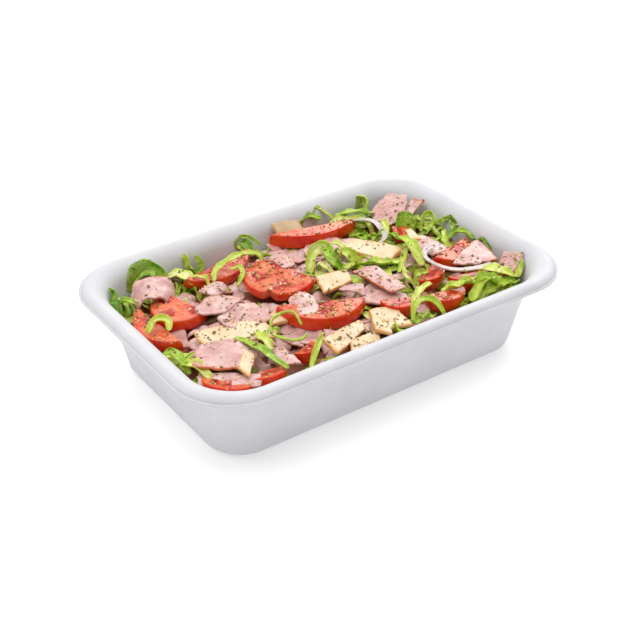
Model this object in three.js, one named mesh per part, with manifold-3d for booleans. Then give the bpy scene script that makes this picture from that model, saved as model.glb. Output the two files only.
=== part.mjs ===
// A ham, cheese and tomato salad in a one-litre takeaway tray of moulded plant fibre.
//
// Millimetres, +Z up, +X along the tray's long side. The origin is the middle of the tray's base, on the
// surface that the tray stands on. The tray is one pressed sheet of even thickness. The toppings are made
// from the lowest to the highest, each pressed a little into those under it, and the salad bed fills the
// tray up to their undersides.
import * as THREE from "three";
import { mergeVertices } from "three/addons/utils/BufferGeometryUtils.js";
import Module from "manifold-3d";

const wasm = await Module();
wasm.setup();

// ---------------------------------------------------------------- driving dimensions: the tray
const TRAY_LENGTH = 230; // over the lip
const TRAY_WIDTH = 154;
const TRAY_HEIGHT = 51; // top of the rim
const SHEET = 1.1; // thickness of the pressed fibre
const WALL_SLOPE = 79; // degrees from level
const CREST_SLOPE = 20; // slope at which the flared wall turns over into the rim's bead
const HEM_SLOPE = -75; // slope of the bead's outer side
const FLOOR_BEND = 5; // radii of the bends, along the middle of the sheet
const SHOULDER_BEND = 11;
const BEAD_BEND = 3.2;
const HEM_BEND = 0.9;
const LIP_WIDTH = 0.7; // level strip outside the bead
const LIP_CORNER = 32.4; // plan radius of the corners, at the lip and at the floor
const FLOOR_CORNER = 17;
const CORNER_STEPS = 5;
const SPACE_TOP = 4; // how far below the rim the space for the salad is closed

// ---------------------------------------------------------------- driving dimensions: the salad
const BED_GAP = 0.4; // between the bed and the tray, and between the bed and the toppings
const BED_STEP = 8; // grid of the bed's uneven top
const BED_EDGE = 33.5; // height of the bed at the tray's wall
const BED_MOUND = 4; // extra height in the middle
const BED_RIPPLE = 1.1;
const PRESS_GAP = 0.35; // between toppings where one is pressed into another
const SLICE_SIDES = 12; // points around a slice of ham or cheese
const SLICE_RINGS = 2;
const TOMATO_BEVEL = 0.9; // rounded edge between a tomato slice's cut faces and its skin
const ONION_POINTS = 9; // along the middle line of an onion strip
const BED_REACH = 2; // half grid steps around a point of the bed that a topping must clear

// Lettuce that stands up between the toppings: middle, radius and extra height of each heap.
const LETTUCE_HEAPS = [
  { x: -70, y: 54, radius: 12, rise: 8 },
  { x: -42, y: 56, radius: 8, rise: 6 },
  { x: 24, y: 22, radius: 14, rise: 5 },
  { x: 44, y: 6, radius: 12, rise: 4 },
  { x: 62, y: 4, radius: 12, rise: 5 },
  { x: 66, y: 48, radius: 14, rise: 7 },
  { x: 92, y: 26, radius: 10, rise: 7 },
  { x: 80, y: -44, radius: 15, rise: 5 },
  { x: 36, y: -44, radius: 9, rise: 5 },
  { x: -58, y: -28, radius: 9, rise: 4 },
  { x: -96, y: -20, radius: 8, rise: 4 },
];

const radians = THREE.MathUtils.degToRad;
const lerp = THREE.MathUtils.lerp;

// ---------------------------------------------------------------- closed meshes and solids
function geometryOf(positions, faces) {
  const geometry = new THREE.BufferGeometry();
  geometry.setAttribute("position", new THREE.Float32BufferAttribute(positions.flat(), 3));
  geometry.setIndex(faces.flat());
  return geometry;
}

// Rings of equally many points, counter-clockwise seen from above, joined in order and closed by a
// point at each end.
function loftGeometry(rings, firstPole, lastPole) {
  const count = rings[0].length;
  const positions = [...rings.flat(), firstPole, lastPole];
  const first = positions.length - 2;
  const last = positions.length - 1;
  const lastRing = (rings.length - 1) * count;
  const faces = [];
  for (let j = 0; j < count; j += 1) {
    const next = (j + 1) % count;
    faces.push([first, next, j]);
    faces.push([last, lastRing + j, lastRing + next]);
    for (let start = 0; start < lastRing; start += count) {
      faces.push([start + j, start + next, start + count + next]);
      faces.push([start + j, start + count + next, start + count + j]);
    }
  }
  return geometryOf(positions, faces);
}

// A closed geometry, in the place that the matrix gives, as a solid.
function solidOf(geometry, matrix = new THREE.Matrix4()) {
  const bare = geometry.clone().applyMatrix4(matrix);
  bare.deleteAttribute("normal");
  bare.deleteAttribute("uv");
  const merged = mergeVertices(bare, 1e-3);
  const vertProperties = new Float32Array(merged.attributes.position.array);
  const triVerts = new Uint32Array(merged.index.array);
  return new wasm.Manifold(new wasm.Mesh({ numProp: 3, vertProperties, triVerts }));
}

function geometryFrom(solid) {
  const { vertProperties, triVerts } = solid.getMesh();
  const geometry = new THREE.BufferGeometry();
  geometry.setAttribute("position", new THREE.BufferAttribute(vertProperties, 3));
  geometry.setIndex(new THREE.BufferAttribute(triVerts, 1));
  return geometry;
}

// ---------------------------------------------------------------- the tray
// The middle line of the pressed sheet, from the floor's edge up the wall and over the rim to the lip.
function sheetLine() {
  const line = [{ out: 0, up: SHEET / 2, slope: 0 }];
  const bend = (slope, radius, steps) => {
    const start = line.at(-1);
    const side = Math.sign(slope - start.slope);
    for (let i = 1; i <= steps; i += 1) {
      const now = lerp(start.slope, slope, i / steps);
      const across = Math.sin(radians(now)) - Math.sin(radians(start.slope));
      const rise = Math.cos(radians(start.slope)) - Math.cos(radians(now));
      const out = start.out + side * radius * across;
      line.push({ out, up: start.up + side * radius * rise, slope: now });
    }
  };
  const cosine = (slope) => Math.cos(radians(slope));
  const shoulderRise = SHOULDER_BEND * (cosine(CREST_SLOPE) - cosine(WALL_SLOPE));
  const beadRise = BEAD_BEND * (1 - cosine(CREST_SLOPE));
  const wallTop = TRAY_HEIGHT - SHEET / 2 - beadRise - shoulderRise;

  bend(WALL_SLOPE, FLOOR_BEND, 3);
  const foot = line.at(-1);
  const wallRun = (wallTop - foot.up) / Math.tan(radians(WALL_SLOPE));
  line.push({ out: foot.out + wallRun / 2, up: (foot.up + wallTop) / 2, slope: WALL_SLOPE });
  line.push({ out: foot.out + wallRun, up: wallTop, slope: WALL_SLOPE });
  bend(CREST_SLOPE, SHOULDER_BEND, 3);
  bend(HEM_SLOPE, BEAD_BEND, 4);
  bend(0, HEM_BEND, 2);
  line.push({ out: line.at(-1).out + LIP_WIDTH, up: line.at(-1).up, slope: 0 });
  const lip = line.at(-1).out;
  return line.map((s) => ({ inset: lip - s.out, up: s.up, slope: s.slope }));
}

// A point of the section, moved off the middle line towards the inside of the tray.
function offsetStation(station, distance) {
  const angle = radians(station.slope);
  return {
    inset: station.inset + Math.sin(angle) * distance,
    up: station.up + Math.cos(angle) * distance,
  };
}

const LINE = sheetLine();
const FLOOR_INSET = LINE[0].inset;

// A rounded rectangle around the tray, as far inside its lip as inset says.
function traySlice({ inset, up }) {
  const radius = lerp(LIP_CORNER, FLOOR_CORNER, THREE.MathUtils.clamp(inset / FLOOR_INSET, 0, 1));
  const halfX = TRAY_LENGTH / 2 - inset - radius;
  const halfY = TRAY_WIDTH / 2 - inset - radius;
  const points = [];
  [[1, 1], [-1, 1], [-1, -1], [1, -1]].forEach(([signX, signY], quarter) => {
    for (let i = 0; i <= CORNER_STEPS; i += 1) {
      const angle = radians(90 * (quarter + i / CORNER_STEPS));
      const x = signX * halfX + radius * Math.cos(angle);
      points.push([x, signY * halfY + radius * Math.sin(angle), up]);
    }
  });
  return points;
}

function trayGeometry() {
  const under = LINE.map((station) => offsetStation(station, -SHEET / 2));
  const upper = LINE.map((station) => offsetStation(station, SHEET / 2)).reverse();
  const rings = [...under, ...upper].map(traySlice);
  return loftGeometry(rings, [0, 0, 0], [0, 0, SHEET]);
}

// The space inside the tray, a little clear of its wall, closed at the height of the rim.
function traySpace() {
  const inner = LINE.map((station) => offsetStation(station, SHEET / 2 + BED_GAP));
  const wall = inner.filter((station, i) => station.up < TRAY_HEIGHT - SPACE_TOP && LINE[i].slope >= 0);
  const rings = wall.map(traySlice);
  const top = wall.at(-1).up;
  return solidOf(loftGeometry(rings, [0, 0, wall[0].up], [0, 0, top]));
}

// ---------------------------------------------------------------- toppings: their shapes
// Radius of a rounded polygon with a flat towards +X, about two units long: roundness 0 gives sharp
// corners, 1 a circle.
function polygonRadius(angle, corners, roundness) {
  const sector = (2 * Math.PI) / corners;
  const turned = angle + sector / 2;
  const within = ((turned % sector) + sector) % sector - sector / 2;
  const size = corners === 3 ? 2 / 3 : 1;
  return size * lerp(1 / Math.cos(within), 1, roundness);
}

// A cut slice of ham or cheese. curl is the angle through which the slice bends down across its width,
// and wave the height of a ripple along it.
function sliceGeometry({
  length,
  width,
  thickness,
  corners = 4,
  roundness = 0.4,
  curl = 0,
  wave = 0,
  grow = 0,
}) {
  const bendRadius = width / Math.max(radians(curl), 1e-6);
  const middle = (u, v) => {
    const x = u * (length + grow) / 2;
    const bent = v * (width + grow) / 2 / bendRadius;
    const ripple = wave * Math.sin(Math.PI * (1.3 * u + 0.5 * v));
    return new THREE.Vector3(x, bendRadius * Math.sin(bent), bendRadius * (Math.cos(bent) - 1) + ripple);
  };
  const normal = (u, v) => {
    const step = 0.01;
    const alongU = middle(u + step, v).sub(middle(u - step, v));
    const alongV = middle(u, v + step).sub(middle(u, v - step));
    return alongU.cross(alongV).normalize();
  };
  const face = (side) => {
    const away = side * (thickness + grow) / 2;
    const centre = middle(0, 0).addScaledVector(normal(0, 0), away);
    const made = [];
    for (let ring = 1; ring <= SLICE_RINGS; ring += 1) {
      const points = [];
      for (let i = 0; i < SLICE_SIDES; i += 1) {
        const angle = (2 * Math.PI * i) / SLICE_SIDES + Math.PI / SLICE_SIDES;
        const reach = (polygonRadius(angle, corners, roundness) * ring) / SLICE_RINGS;
        const u = Math.cos(angle) * reach;
        const v = Math.sin(angle) * reach;
        points.push(middle(u, v).addScaledVector(normal(u, v), away).toArray());
      }
      made.push(points);
    }
    return { centre: centre.toArray(), rings: made };
  };
  const lower = face(-1);
  const upper = face(1);
  return loftGeometry([...lower.rings, ...upper.rings.reverse()], lower.centre, upper.centre);
}

// A cut slice of tomato, part of a round: the skin is the arc on the -Y side, the straight cut is on
// the +Y side. length is the straight cut, depth how far the skin stands off it.
function tomatoSliceGeometry({ length, depth, thickness, grow }) {
  const chord = length + grow;
  const reach = depth + grow;
  const radius = (chord * chord / 4 + reach * reach) / (2 * reach);
  const narrow = Math.asin(chord / 2 / radius);
  const half = reach > radius ? Math.PI - narrow : narrow;
  const outline = new THREE.Shape();
  outline.absarc(0, radius - reach / 2, radius, -Math.PI / 2 - half, -Math.PI / 2 + half, false);
  outline.closePath();
  const geometry = new THREE.ExtrudeGeometry(outline, {
    depth: thickness + grow - 2 * TOMATO_BEVEL,
    bevelThickness: TOMATO_BEVEL,
    bevelSize: TOMATO_BEVEL,
    bevelOffset: -TOMATO_BEVEL,
    bevelSegments: 1,
    curveSegments: 8,
  });
  return geometry.translate(0, 0, TOMATO_BEVEL - (thickness + grow) / 2);
}

// A wedge of a whole tomato: a slice of a globe between two cuts that meet along the core, with the
// skin on the -Y side. spread is the angle between the cuts.
function tomatoWedgeGeometry({ length, depth, spread, grow }) {
  const globe = new THREE.SphereGeometry(1, 12, 9).scale((length + grow) / 2, depth + grow, depth + grow);
  const size = 2 * length;
  let wedge = solidOf(globe);
  for (const side of [-1, 1]) {
    const keep = new THREE.BoxGeometry(size, size, size).translate(0, 0, side * (grow - size) / 2);
    const cut = new THREE.Matrix4().makeRotationX(radians(-side * spread / 2));
    wedge = wedge.intersect(solidOf(keep, cut));
  }
  return geometryFrom(wedge).translate(0, depth / 2, 0);
}

// A strip of an onion's layer, lying in an arc of which the middle is at the origin. dip is how far its
// ends hang below its middle.
function onionStripGeometry({ radius, sweep, width, thickness, dip, grow }) {
  const route = [];
  for (let i = 0; i < ONION_POINTS; i += 1) {
    const share = i / (ONION_POINTS - 1) - 0.5;
    const angle = (radians(sweep) + grow / radius) * share - Math.PI / 2;
    const up = -dip * 4 * share * share;
    route.push(new THREE.Vector3(radius * Math.cos(angle), radius * (Math.sin(angle) + 1), up));
  }
  const section = new THREE.Shape();
  section.absellipse(0, 0, (width + grow) / 2, (thickness + grow) / 2, 0, 2 * Math.PI, false);
  return new THREE.ExtrudeGeometry(section, {
    steps: 2 * (ONION_POINTS - 1),
    curveSegments: 3,
    bevelEnabled: false,
    extrudePath: new THREE.CatmullRomCurve3(route),
  });
}

// ---------------------------------------------------------------- toppings: their places
const group = new THREE.Group();
const placed = [];

const LOOKS = {
  fibre: { color: 0xe9e9ee, roughness: 0.8 },
  lettuce: { color: 0x8fbf3a, roughness: 0.55 },
  tomato: { color: 0xc8281a, roughness: 0.3 },
  ham: { color: 0xe0b0a4, roughness: 0.5 },
  cheese: { color: 0xf0dfae, roughness: 0.45 },
  onion: { color: 0xeee8e0, roughness: 0.3 },
};

function meshOf(name, geometry, look) {
  const material = new THREE.MeshStandardMaterial({ ...LOOKS[look], metalness: 0 });
  const mesh = new THREE.Mesh(geometry, material);
  mesh.name = name;
  group.add(mesh);
  return mesh;
}

// Puts a topping at its place and presses it into the softer ones made before it: each of those loses
// what the new one, a little enlarged, takes up. shapeOf(grow) makes the topping with each of its sizes
// larger by grow. turn is its heading, pitch lowers its +X end and lean raises its +Y side, in degrees.
function topping(name, look, shapeOf, [x, y, z], turn = 0, pitch = 0, lean = 0) {
  const mesh = meshOf(name, new THREE.BufferGeometry(), look);
  mesh.position.set(x, y, z);
  mesh.rotation.set(radians(lean), radians(pitch), radians(turn), "ZYX");
  mesh.updateMatrixWorld();
  const room = solidOf(shapeOf(2 * PRESS_GAP), mesh.matrixWorld);
  placed.forEach((under) => {
    if (under.solid.intersect(room).volume() > 0) {
      under.solid = largestBody(under.solid.subtract(room));
    }
  });
  placed.push({ mesh, room, solid: solidOf(shapeOf(0), mesh.matrixWorld) });
}

function largestBody(solid) {
  const bodies = solid.decompose();
  return bodies.reduce((best, body) => (body.volume() > best.volume() ? body : best));
}

const ham = (name, shape, ...place) => {
  const shapeOf = (grow) => sliceGeometry({ thickness: 1.8, roundness: 0.55, ...shape, grow });
  topping(name, "ham", shapeOf, ...place);
};
const cheese = (name, shape, ...place) => {
  const shapeOf = (grow) => sliceGeometry({ thickness: 2.6, roundness: 0.12, ...shape, grow });
  topping(name, "cheese", shapeOf, ...place);
};
const tomato = (name, shape, ...place) => {
  topping(name, "tomato", (grow) => tomatoSliceGeometry({ thickness: 7, ...shape, grow }), ...place);
};
const wedge = (name, shape, ...place) => {
  topping(name, "tomato", (grow) => tomatoWedgeGeometry({ spread: 78, ...shape, grow }), ...place);
};
const onion = (name, shape, ...place) => {
  const shapeOf = (grow) => onionStripGeometry({ width: 3.4, thickness: 2.2, ...shape, grow });
  topping(name, "onion", shapeOf, ...place);
};

// The lowest layer, half sunk in the lettuce.
tomato("tomato_left", { length: 43, depth: 12 }, [-92.5, 19, 35.5], -86, 0, 8);
tomato("tomato_back_left", { length: 50, depth: 13, thickness: 6 }, [-31, 48, 37], 12, 0, 12);
tomato("tomato_right", { length: 32, depth: 12, thickness: 6 }, [85, -11, 37.5], 15, 0, 14);
wedge("tomato_small_right", { length: 15, depth: 9 }, [74, 27, 37], 60, 0, 30);
wedge("tomato_front_left", { length: 25, depth: 11 }, [-87, -44, 35.5], -50, 0, 25);
wedge("tomato_front_low", { length: 22, depth: 10 }, [-65, -48, 35.5], -6, 0, 25);
wedge("tomato_small_front", { length: 14, depth: 9 }, [-37, -41, 35.5], 20, 0, 25);
ham("ham_back", { length: 32, width: 14, wave: 0.8 }, [33, 39, 37.5], -20, 0, 4);
ham("ham_back_side", { length: 16, width: 11, curl: 30 }, [2, 39, 38.5], 80, 0, 0);
ham("ham_left_low", { length: 22, width: 10, curl: 40 }, [-86, -36, 36.5], -32, 0, 14);
ham("ham_under_slice", { length: 27, width: 12, wave: 0.6 }, [23.5, -25, 38], -40, 0, 4);
cheese("cheese_back", { length: 18, width: 11, thickness: 2 }, [18, 57.5, 43], -6, 0, 50);

// The middle layer.
tomato("tomato_gel", { length: 31, depth: 19 }, [-76, 26, 37.5], -74, 0, 8);
tomato("tomato_back", { length: 57, depth: 10, thickness: 8 }, [32, 50, 39.5], -9, 2, 4);
wedge("tomato_right_chunk", { length: 22, depth: 11 }, [58, -22, 37.5], 28, 0, 30);
wedge("tomato_right_low", { length: 23, depth: 11 }, [73, -35.5, 37], -14, 0, 30);
wedge("tomato_chunk_left", { length: 20, depth: 11 }, [24, -36.5, 38], -22, 0, 34);
wedge("tomato_chunk_right", { length: 24, depth: 12 }, [48.5, -44, 37.5], -14, 0, 34);
cheese("cheese_left", { length: 40, width: 18, thickness: 2 }, [-60, -11, 39], -16, 2, 3);
cheese("cheese_middle", { length: 16, width: 13 }, [-33, -8, 38.5], 10, 0, 5);
cheese("cheese_front_right", { length: 22, width: 13 }, [12.5, -43, 39], 80, 0, 0);
cheese("cheese_front_low", { length: 25, width: 8, thickness: 2 }, [-12, -53.5, 38.5], 8, 0, 14);
ham("ham_arch", { length: 20, width: 31, curl: 150, thickness: 2 }, [-77, 43.5, 44.5], 60, -8, 0);
ham("ham_right", { length: 23, width: 14, curl: 60 }, [78, 5, 40.5], -87, 0, 0);
ham("ham_tall", { length: 27, width: 19, curl: 24 }, [82, 47, 43], 30, -20, 0);
ham("ham_tall_side", { length: 15, width: 9, curl: 20 }, [94, 41, 43.5], 0, -31, 0);
ham("ham_corner", { length: 17, width: 11, curl: 30 }, [94, -41.5, 43.5], 28, -30, 0);
ham("ham_strip", { length: 21, width: 8, curl: 50 }, [-51, -39, 39], -90, 0, 0);
ham("ham_front_small", { length: 14, width: 9, curl: 30 }, [-77, -47, 38.5], -28, 0, 8);
ham("ham_pile_left", { length: 26, width: 20, wave: 0.8 }, [-48, 0, 40], -4, 0, 3);

// The top layer.
tomato("tomato_centre", { length: 35, depth: 29 }, [-18, 19.5, 39.5], -72, 0, 2);
tomato("tomato_front", { length: 48, depth: 17, thickness: 7.5 }, [-15, -22.5, 39.5], -25, 0, 2);
cheese("cheese_centre", { length: 23, width: 16 }, [8, 1, 41.5], -3, 0, 4);
cheese("cheese_right", { length: 30, width: 18, thickness: 3.4 }, [47, 16, 41], -62, 0, 0);
cheese("cheese_front", { length: 29, width: 12 }, [-17, -46, 40], 16, 0, 12);
cheese("cheese_front_left", { length: 22, width: 9, thickness: 2.2 }, [3, -45, 40.5], 66, 0, 18);
cheese("cheese_chip", { length: 14, width: 7, thickness: 2 }, [75, 18, 40.5], 70, 0, 0);
ham("ham_oval", { length: 26, width: 15, roundness: 0.9, wave: 0.6 }, [-55, 16, 41.3], -10, 0, 4);
ham("ham_roll", { length: 15, width: 14, curl: 110, roundness: 0.8 }, [-49, 31, 42], 20, 0, 0);
ham("ham_left", { length: 33, width: 22, wave: 0.9 }, [-75, -26, 41], -32, 0, 5);
ham("ham_middle", { length: 23, width: 15, roundness: 0.8, curl: 24 }, [-19.5, -11, 43], 75, 0, 0);
ham("ham_slice", { length: 31, width: 14, curl: 26 }, [29, -13, 42.5], -88, 0, 0);
ham("ham_fold", { length: 16, width: 14, curl: 90, corners: 3 }, [10, -15, 43.5], -20, 0, 0);
ham("ham_triangle", { length: 32, width: 23, corners: 3, roundness: 0.2 }, [87.5, -21.5, 42], 2, 0, 4);
cheese("cheese_sliver", { length: 22, width: 7, thickness: 1.6 }, [-71, -38.5, 41.5], 48, 0, 8);
onion("onion_arc", { radius: 18, sweep: 205, dip: 2 }, [62.5, -26, 44], -66, 0, 0);
onion("onion_ring", { radius: 18, sweep: 150, width: 2.6, thickness: 1.6, dip: 2 }, [65, 36, 43.5], 90, 0, 0);

// The finished toppings, each back in the frame of its own mesh.
placed.forEach(({ mesh, solid }) => {
  mesh.geometry = geometryFrom(solid).applyMatrix4(mesh.matrixWorld.clone().invert());
});

// ---------------------------------------------------------------- the salad bed
// The height that the lettuce reaches where nothing lies on it.
function looseHeight(x, y) {
  const reachX = (2 * x) / TRAY_LENGTH;
  const reachY = (2 * y) / TRAY_WIDTH;
  const mound = BED_MOUND * Math.max(0, 1 - reachX * reachX - reachY * reachY);
  const ripple = BED_RIPPLE * (Math.sin(x / 5.3 + y / 9.1) + Math.cos(y / 4.7 - x / 11.9));
  const heaps = LETTUCE_HEAPS.map((heap) => {
    const away = Math.hypot(x - heap.x, y - heap.y) / heap.radius;
    return heap.rise * Math.exp(-away * away);
  });
  return BED_EDGE + mound + ripple + Math.max(0, ...heaps);
}

// The bed: a grid whose points reach the loose height, or the underside of the lowest topping near them
// where that is lower, cut to the space inside the tray and clear of every topping.
function bedGeometry(space) {
  const columns = Math.round(TRAY_LENGTH / BED_STEP);
  const rows = Math.round(TRAY_WIDTH / BED_STEP);
  const box = new THREE.BoxGeometry(TRAY_LENGTH, TRAY_WIDTH, TRAY_HEIGHT, columns, rows, 1);
  const positions = box.attributes.position;
  const meshes = placed.map((one) => one.mesh);
  meshes.forEach((mesh) => {
    mesh.material.side = THREE.DoubleSide;
  });
  const ray = new THREE.Raycaster();
  const up = new THREE.Vector3(0, 0, 1);
  const probes = new Map();
  const underside = (x, y) => {
    const key = `${x.toFixed(2)},${y.toFixed(2)}`;
    if (!probes.has(key)) {
      ray.set(new THREE.Vector3(x, y, 0), up);
      const hit = ray.intersectObjects(meshes, false)[0];
      probes.set(key, hit ? hit.point.z : Infinity);
    }
    return probes.get(key);
  };
  const half = BED_STEP / 2;
  for (let i = 0; i < positions.count; i += 1) {
    if (positions.getZ(i) > 0) {
      const x = positions.getX(i);
      const y = positions.getY(i);
      let height = looseHeight(x, y);
      for (let stepX = -BED_REACH; stepX <= BED_REACH; stepX += 1) {
        for (let stepY = -BED_REACH; stepY <= BED_REACH; stepY += 1) {
          height = Math.min(height, underside(x + stepX * half, y + stepY * half) - BED_GAP);
        }
      }
      positions.setZ(i, height);
    }
  }
  let bed = space.intersect(solidOf(box));
  placed.forEach(({ room, solid }) => {
    if (bed.intersect(solid).volume() > 0) {
      bed = largestBody(bed.subtract(room));
    }
  });
  return geometryFrom(bed);
}

meshOf("salad_bed", bedGeometry(traySpace()), "lettuce");
meshOf("tray", trayGeometry(), "fibre");

export default group;
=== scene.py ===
# %% [markdown]
# # A takeaway tray of ham and cheese salad
#
# The real thing is a one-litre tray of pressed plant fibre, filled with shredded lettuce. On the lettuce
# lie tomato slices and wedges, torn ham, broken cheese and a few onion strips, all dusted with dried
# herbs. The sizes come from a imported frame: every piece here is built around the solid that it stands for.
# A salad could be sculpted as one lump, but it only looks right when each leaf and slice is its own thin,
# wet sheet, so this script makes a small workshop of shapes first and then fills the tray with them.

# %% Load the frame
import math

import bpy
import numpy as np
from mathutils import Euler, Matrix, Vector, noise
from mathutils.bvhtree import BVHTree


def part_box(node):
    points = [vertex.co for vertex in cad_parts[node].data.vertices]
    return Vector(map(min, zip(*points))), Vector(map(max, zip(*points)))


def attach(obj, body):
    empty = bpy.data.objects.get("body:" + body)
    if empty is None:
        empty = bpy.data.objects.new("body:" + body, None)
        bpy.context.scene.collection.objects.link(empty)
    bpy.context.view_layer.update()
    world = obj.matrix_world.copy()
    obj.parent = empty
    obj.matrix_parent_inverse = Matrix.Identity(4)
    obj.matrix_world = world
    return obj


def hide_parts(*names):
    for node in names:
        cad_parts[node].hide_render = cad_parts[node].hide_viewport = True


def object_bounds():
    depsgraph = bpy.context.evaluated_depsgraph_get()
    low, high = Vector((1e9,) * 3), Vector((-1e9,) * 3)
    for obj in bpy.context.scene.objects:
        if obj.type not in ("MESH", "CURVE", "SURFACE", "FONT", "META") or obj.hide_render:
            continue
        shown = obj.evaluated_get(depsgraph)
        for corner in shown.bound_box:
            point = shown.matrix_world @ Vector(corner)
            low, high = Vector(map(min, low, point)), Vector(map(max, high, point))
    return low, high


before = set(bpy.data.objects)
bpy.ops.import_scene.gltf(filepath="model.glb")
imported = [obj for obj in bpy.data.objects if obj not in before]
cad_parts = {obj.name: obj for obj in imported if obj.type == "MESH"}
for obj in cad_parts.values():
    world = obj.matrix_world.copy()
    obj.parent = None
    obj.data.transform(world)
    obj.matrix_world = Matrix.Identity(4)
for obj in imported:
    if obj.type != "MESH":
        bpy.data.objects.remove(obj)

MM = 0.001
cad_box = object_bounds()
tray_low, tray_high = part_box("tray")
tray_length, tray_width, tray_height = (tray_high - tray_low) / MM
print(f"tray {tray_length:.0f} x {tray_width:.0f} x {tray_height:.1f} mm, {len(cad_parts)} nodes")

# %% [markdown]
# ## Shader maths as Python
#
# A material is a graph of nodes. Wired by hand it is long and hard to read, so one small class wraps a
# socket and overloads the operators, and one method adds any other node.

# %% A socket that can be calculated with
class Value:
    """A number, colour or vector that flows out of a node."""

    def __init__(self, tree, socket):
        self.tree = tree
        self.socket = socket

    def maths(self, operation, *others):
        made = self.tree.nodes.new("ShaderNodeMath")
        made.operation = operation
        for slot, value in zip(made.inputs, others):
            if isinstance(value, Value):
                self.tree.links.new(value.socket, slot)
            else:
                slot.default_value = value
        return Value(self.tree, made.outputs[0])

    def __add__(self, other):
        return self.maths("ADD", self, other)

    def __radd__(self, other):
        return self.maths("ADD", other, self)

    def __sub__(self, other):
        return self.maths("SUBTRACT", self, other)

    def __rsub__(self, other):
        return self.maths("SUBTRACT", other, self)

    def __mul__(self, other):
        return self.maths("MULTIPLY", self, other)

    def __rmul__(self, other):
        return self.maths("MULTIPLY", other, self)

    def step(self, low, high):
        """0 below low, 1 above high, and a smooth rise between them."""
        made = self.tree.nodes.new("ShaderNodeMapRange")
        made.interpolation_type = "SMOOTHSTEP"
        self.tree.links.new(self.socket, made.inputs["Value"])
        made.inputs["From Min"].default_value = low
        made.inputs["From Max"].default_value = high
        return Value(self.tree, made.outputs["Result"])


# The Mix node has sockets for every data type under the same names, so these are the colour's places.
MIX_FACTOR, MIX_FIRST, MIX_SECOND, MIX_RESULT = 0, 6, 7, 2
NOISE_ROUGHNESS = 0.55


class Finish:
    """A procedural material on one Principled shader."""

    def __init__(self, name, **constants):
        self.material = bpy.data.materials.new(name)
        self.material.use_nodes = True
        self.tree = self.material.node_tree
        self.shader = self.tree.nodes["Principled BSDF"]
        for socket, value in constants.items():
            self.shader.inputs[socket.replace("_", " ")].default_value = value

    def node(self, kind, settings=None, inputs=None, output=0):
        made = self.tree.nodes.new(kind)
        for name, value in (settings or {}).items():
            setattr(made, name, value)
        for name, value in (inputs or {}).items():
            self.feed(made.inputs[name], value)
        return Value(self.tree, made.outputs[output])

    def feed(self, socket, value):
        if isinstance(value, Value):
            self.tree.links.new(value.socket, socket)
        else:
            socket.default_value = value

    def place(self):
        return self.node("ShaderNodeTexCoord", output="Object")

    def number(self, name):
        """A number that the mesh carries at each point."""
        return self.node("ShaderNodeAttribute", {"attribute_name": name}, output="Fac")

    def vector(self, name):
        return self.node("ShaderNodeAttribute", {"attribute_name": name}, output="Vector")

    def stretch(self, place, scale, offset=(0, 0, 0)):
        return self.node("ShaderNodeMapping", inputs={"Vector": place, "Scale": scale, "Location": offset})

    def noise(self, place, scale, detail):
        inputs = {"Vector": place, "Scale": scale, "Detail": detail, "Roughness": NOISE_ROUGHNESS}
        return self.node("ShaderNodeTexNoise", inputs=inputs)

    def cells(self, place, scale, feature="F1"):
        inputs = {"Vector": place, "Scale": scale}
        return self.node("ShaderNodeTexVoronoi", {"feature": feature}, inputs, "Distance")

    def mix(self, factor, first, second):
        """The colour goes from first to second as the factor goes from 0 to 1."""
        sockets = {MIX_FACTOR: factor, MIX_FIRST: first, MIX_SECOND: second}
        return self.node("ShaderNodeMix", {"data_type": "RGBA"}, sockets, MIX_RESULT)

    def colour(self, value):
        self.feed(self.shader.inputs["Base Color"], value)

    def rough(self, value):
        self.feed(self.shader.inputs["Roughness"], value)

    def bump(self, height, depth_mm, strength=1.0):
        inputs = {"Height": height, "Distance": depth_mm * MM, "Strength": strength}
        made = self.node("ShaderNodeBump", inputs=inputs, output="Normal")
        self.feed(self.shader.inputs["Normal"], made)

    def let_light_in(self, weight, colours, depth_mm):
        """Light enters wet food and leaves it a little further on, red light further than blue."""
        self.shader.inputs["Subsurface Weight"].default_value = weight
        self.shader.inputs["Subsurface Radius"].default_value = colours
        self.shader.inputs["Subsurface Scale"].default_value = depth_mm * MM


def tint(red, green, blue):
    """A display colour, each part from 0 to 255, as linear numbers with full alpha."""
    linear = [((c / 255 + 0.055) / 1.055) ** 2.4 if c > 10 else c / 3295 for c in (red, green, blue)]
    return (*linear, 1.0)


# %% [markdown]
# ## Meshes from grids of points
#
# Every shape here is a grid of points from a formula: rings round a middle, or rows along a path. numpy
# builds such grids quickly, and a mesh can carry extra numbers at its points, such as how deep a point
# lies under the skin, which the materials read. All shapes are worked out in millimetres.

# %% Points to a Blender piece
def piece(name, points, faces, finish, numbers=None, vectors=None, slot=None, stands_for=()):
    """A mesh from points in millimetres, which carries the numbers and vectors for its finish."""
    mesh = bpy.data.meshes.new(name)
    mesh.from_pydata((np.asarray(points) * MM).tolist(), [], faces)
    mesh.shade_smooth()
    for key, values in (numbers or {}).items():
        mesh.attributes.new(key, "FLOAT", "POINT").data.foreach_set("value", np.asarray(values, np.float32))
    for key, values in (vectors or {}).items():
        flat = np.asarray(values, np.float32).ravel()
        mesh.attributes.new(key, "FLOAT_VECTOR", "POINT").data.foreach_set("vector", flat)
    mesh.materials.append(finish.material)
    made = bpy.data.objects.new(name, mesh)
    bpy.context.scene.collection.objects.link(made)
    if slot:
        claim(made, slot, *stands_for)
    return made


def claim(made, slot, *nodes):
    """The piece rides with the tray and stands for the nodes. The slot is not used."""
    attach(made, "root")
    if nodes:
        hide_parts(*nodes)


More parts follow.
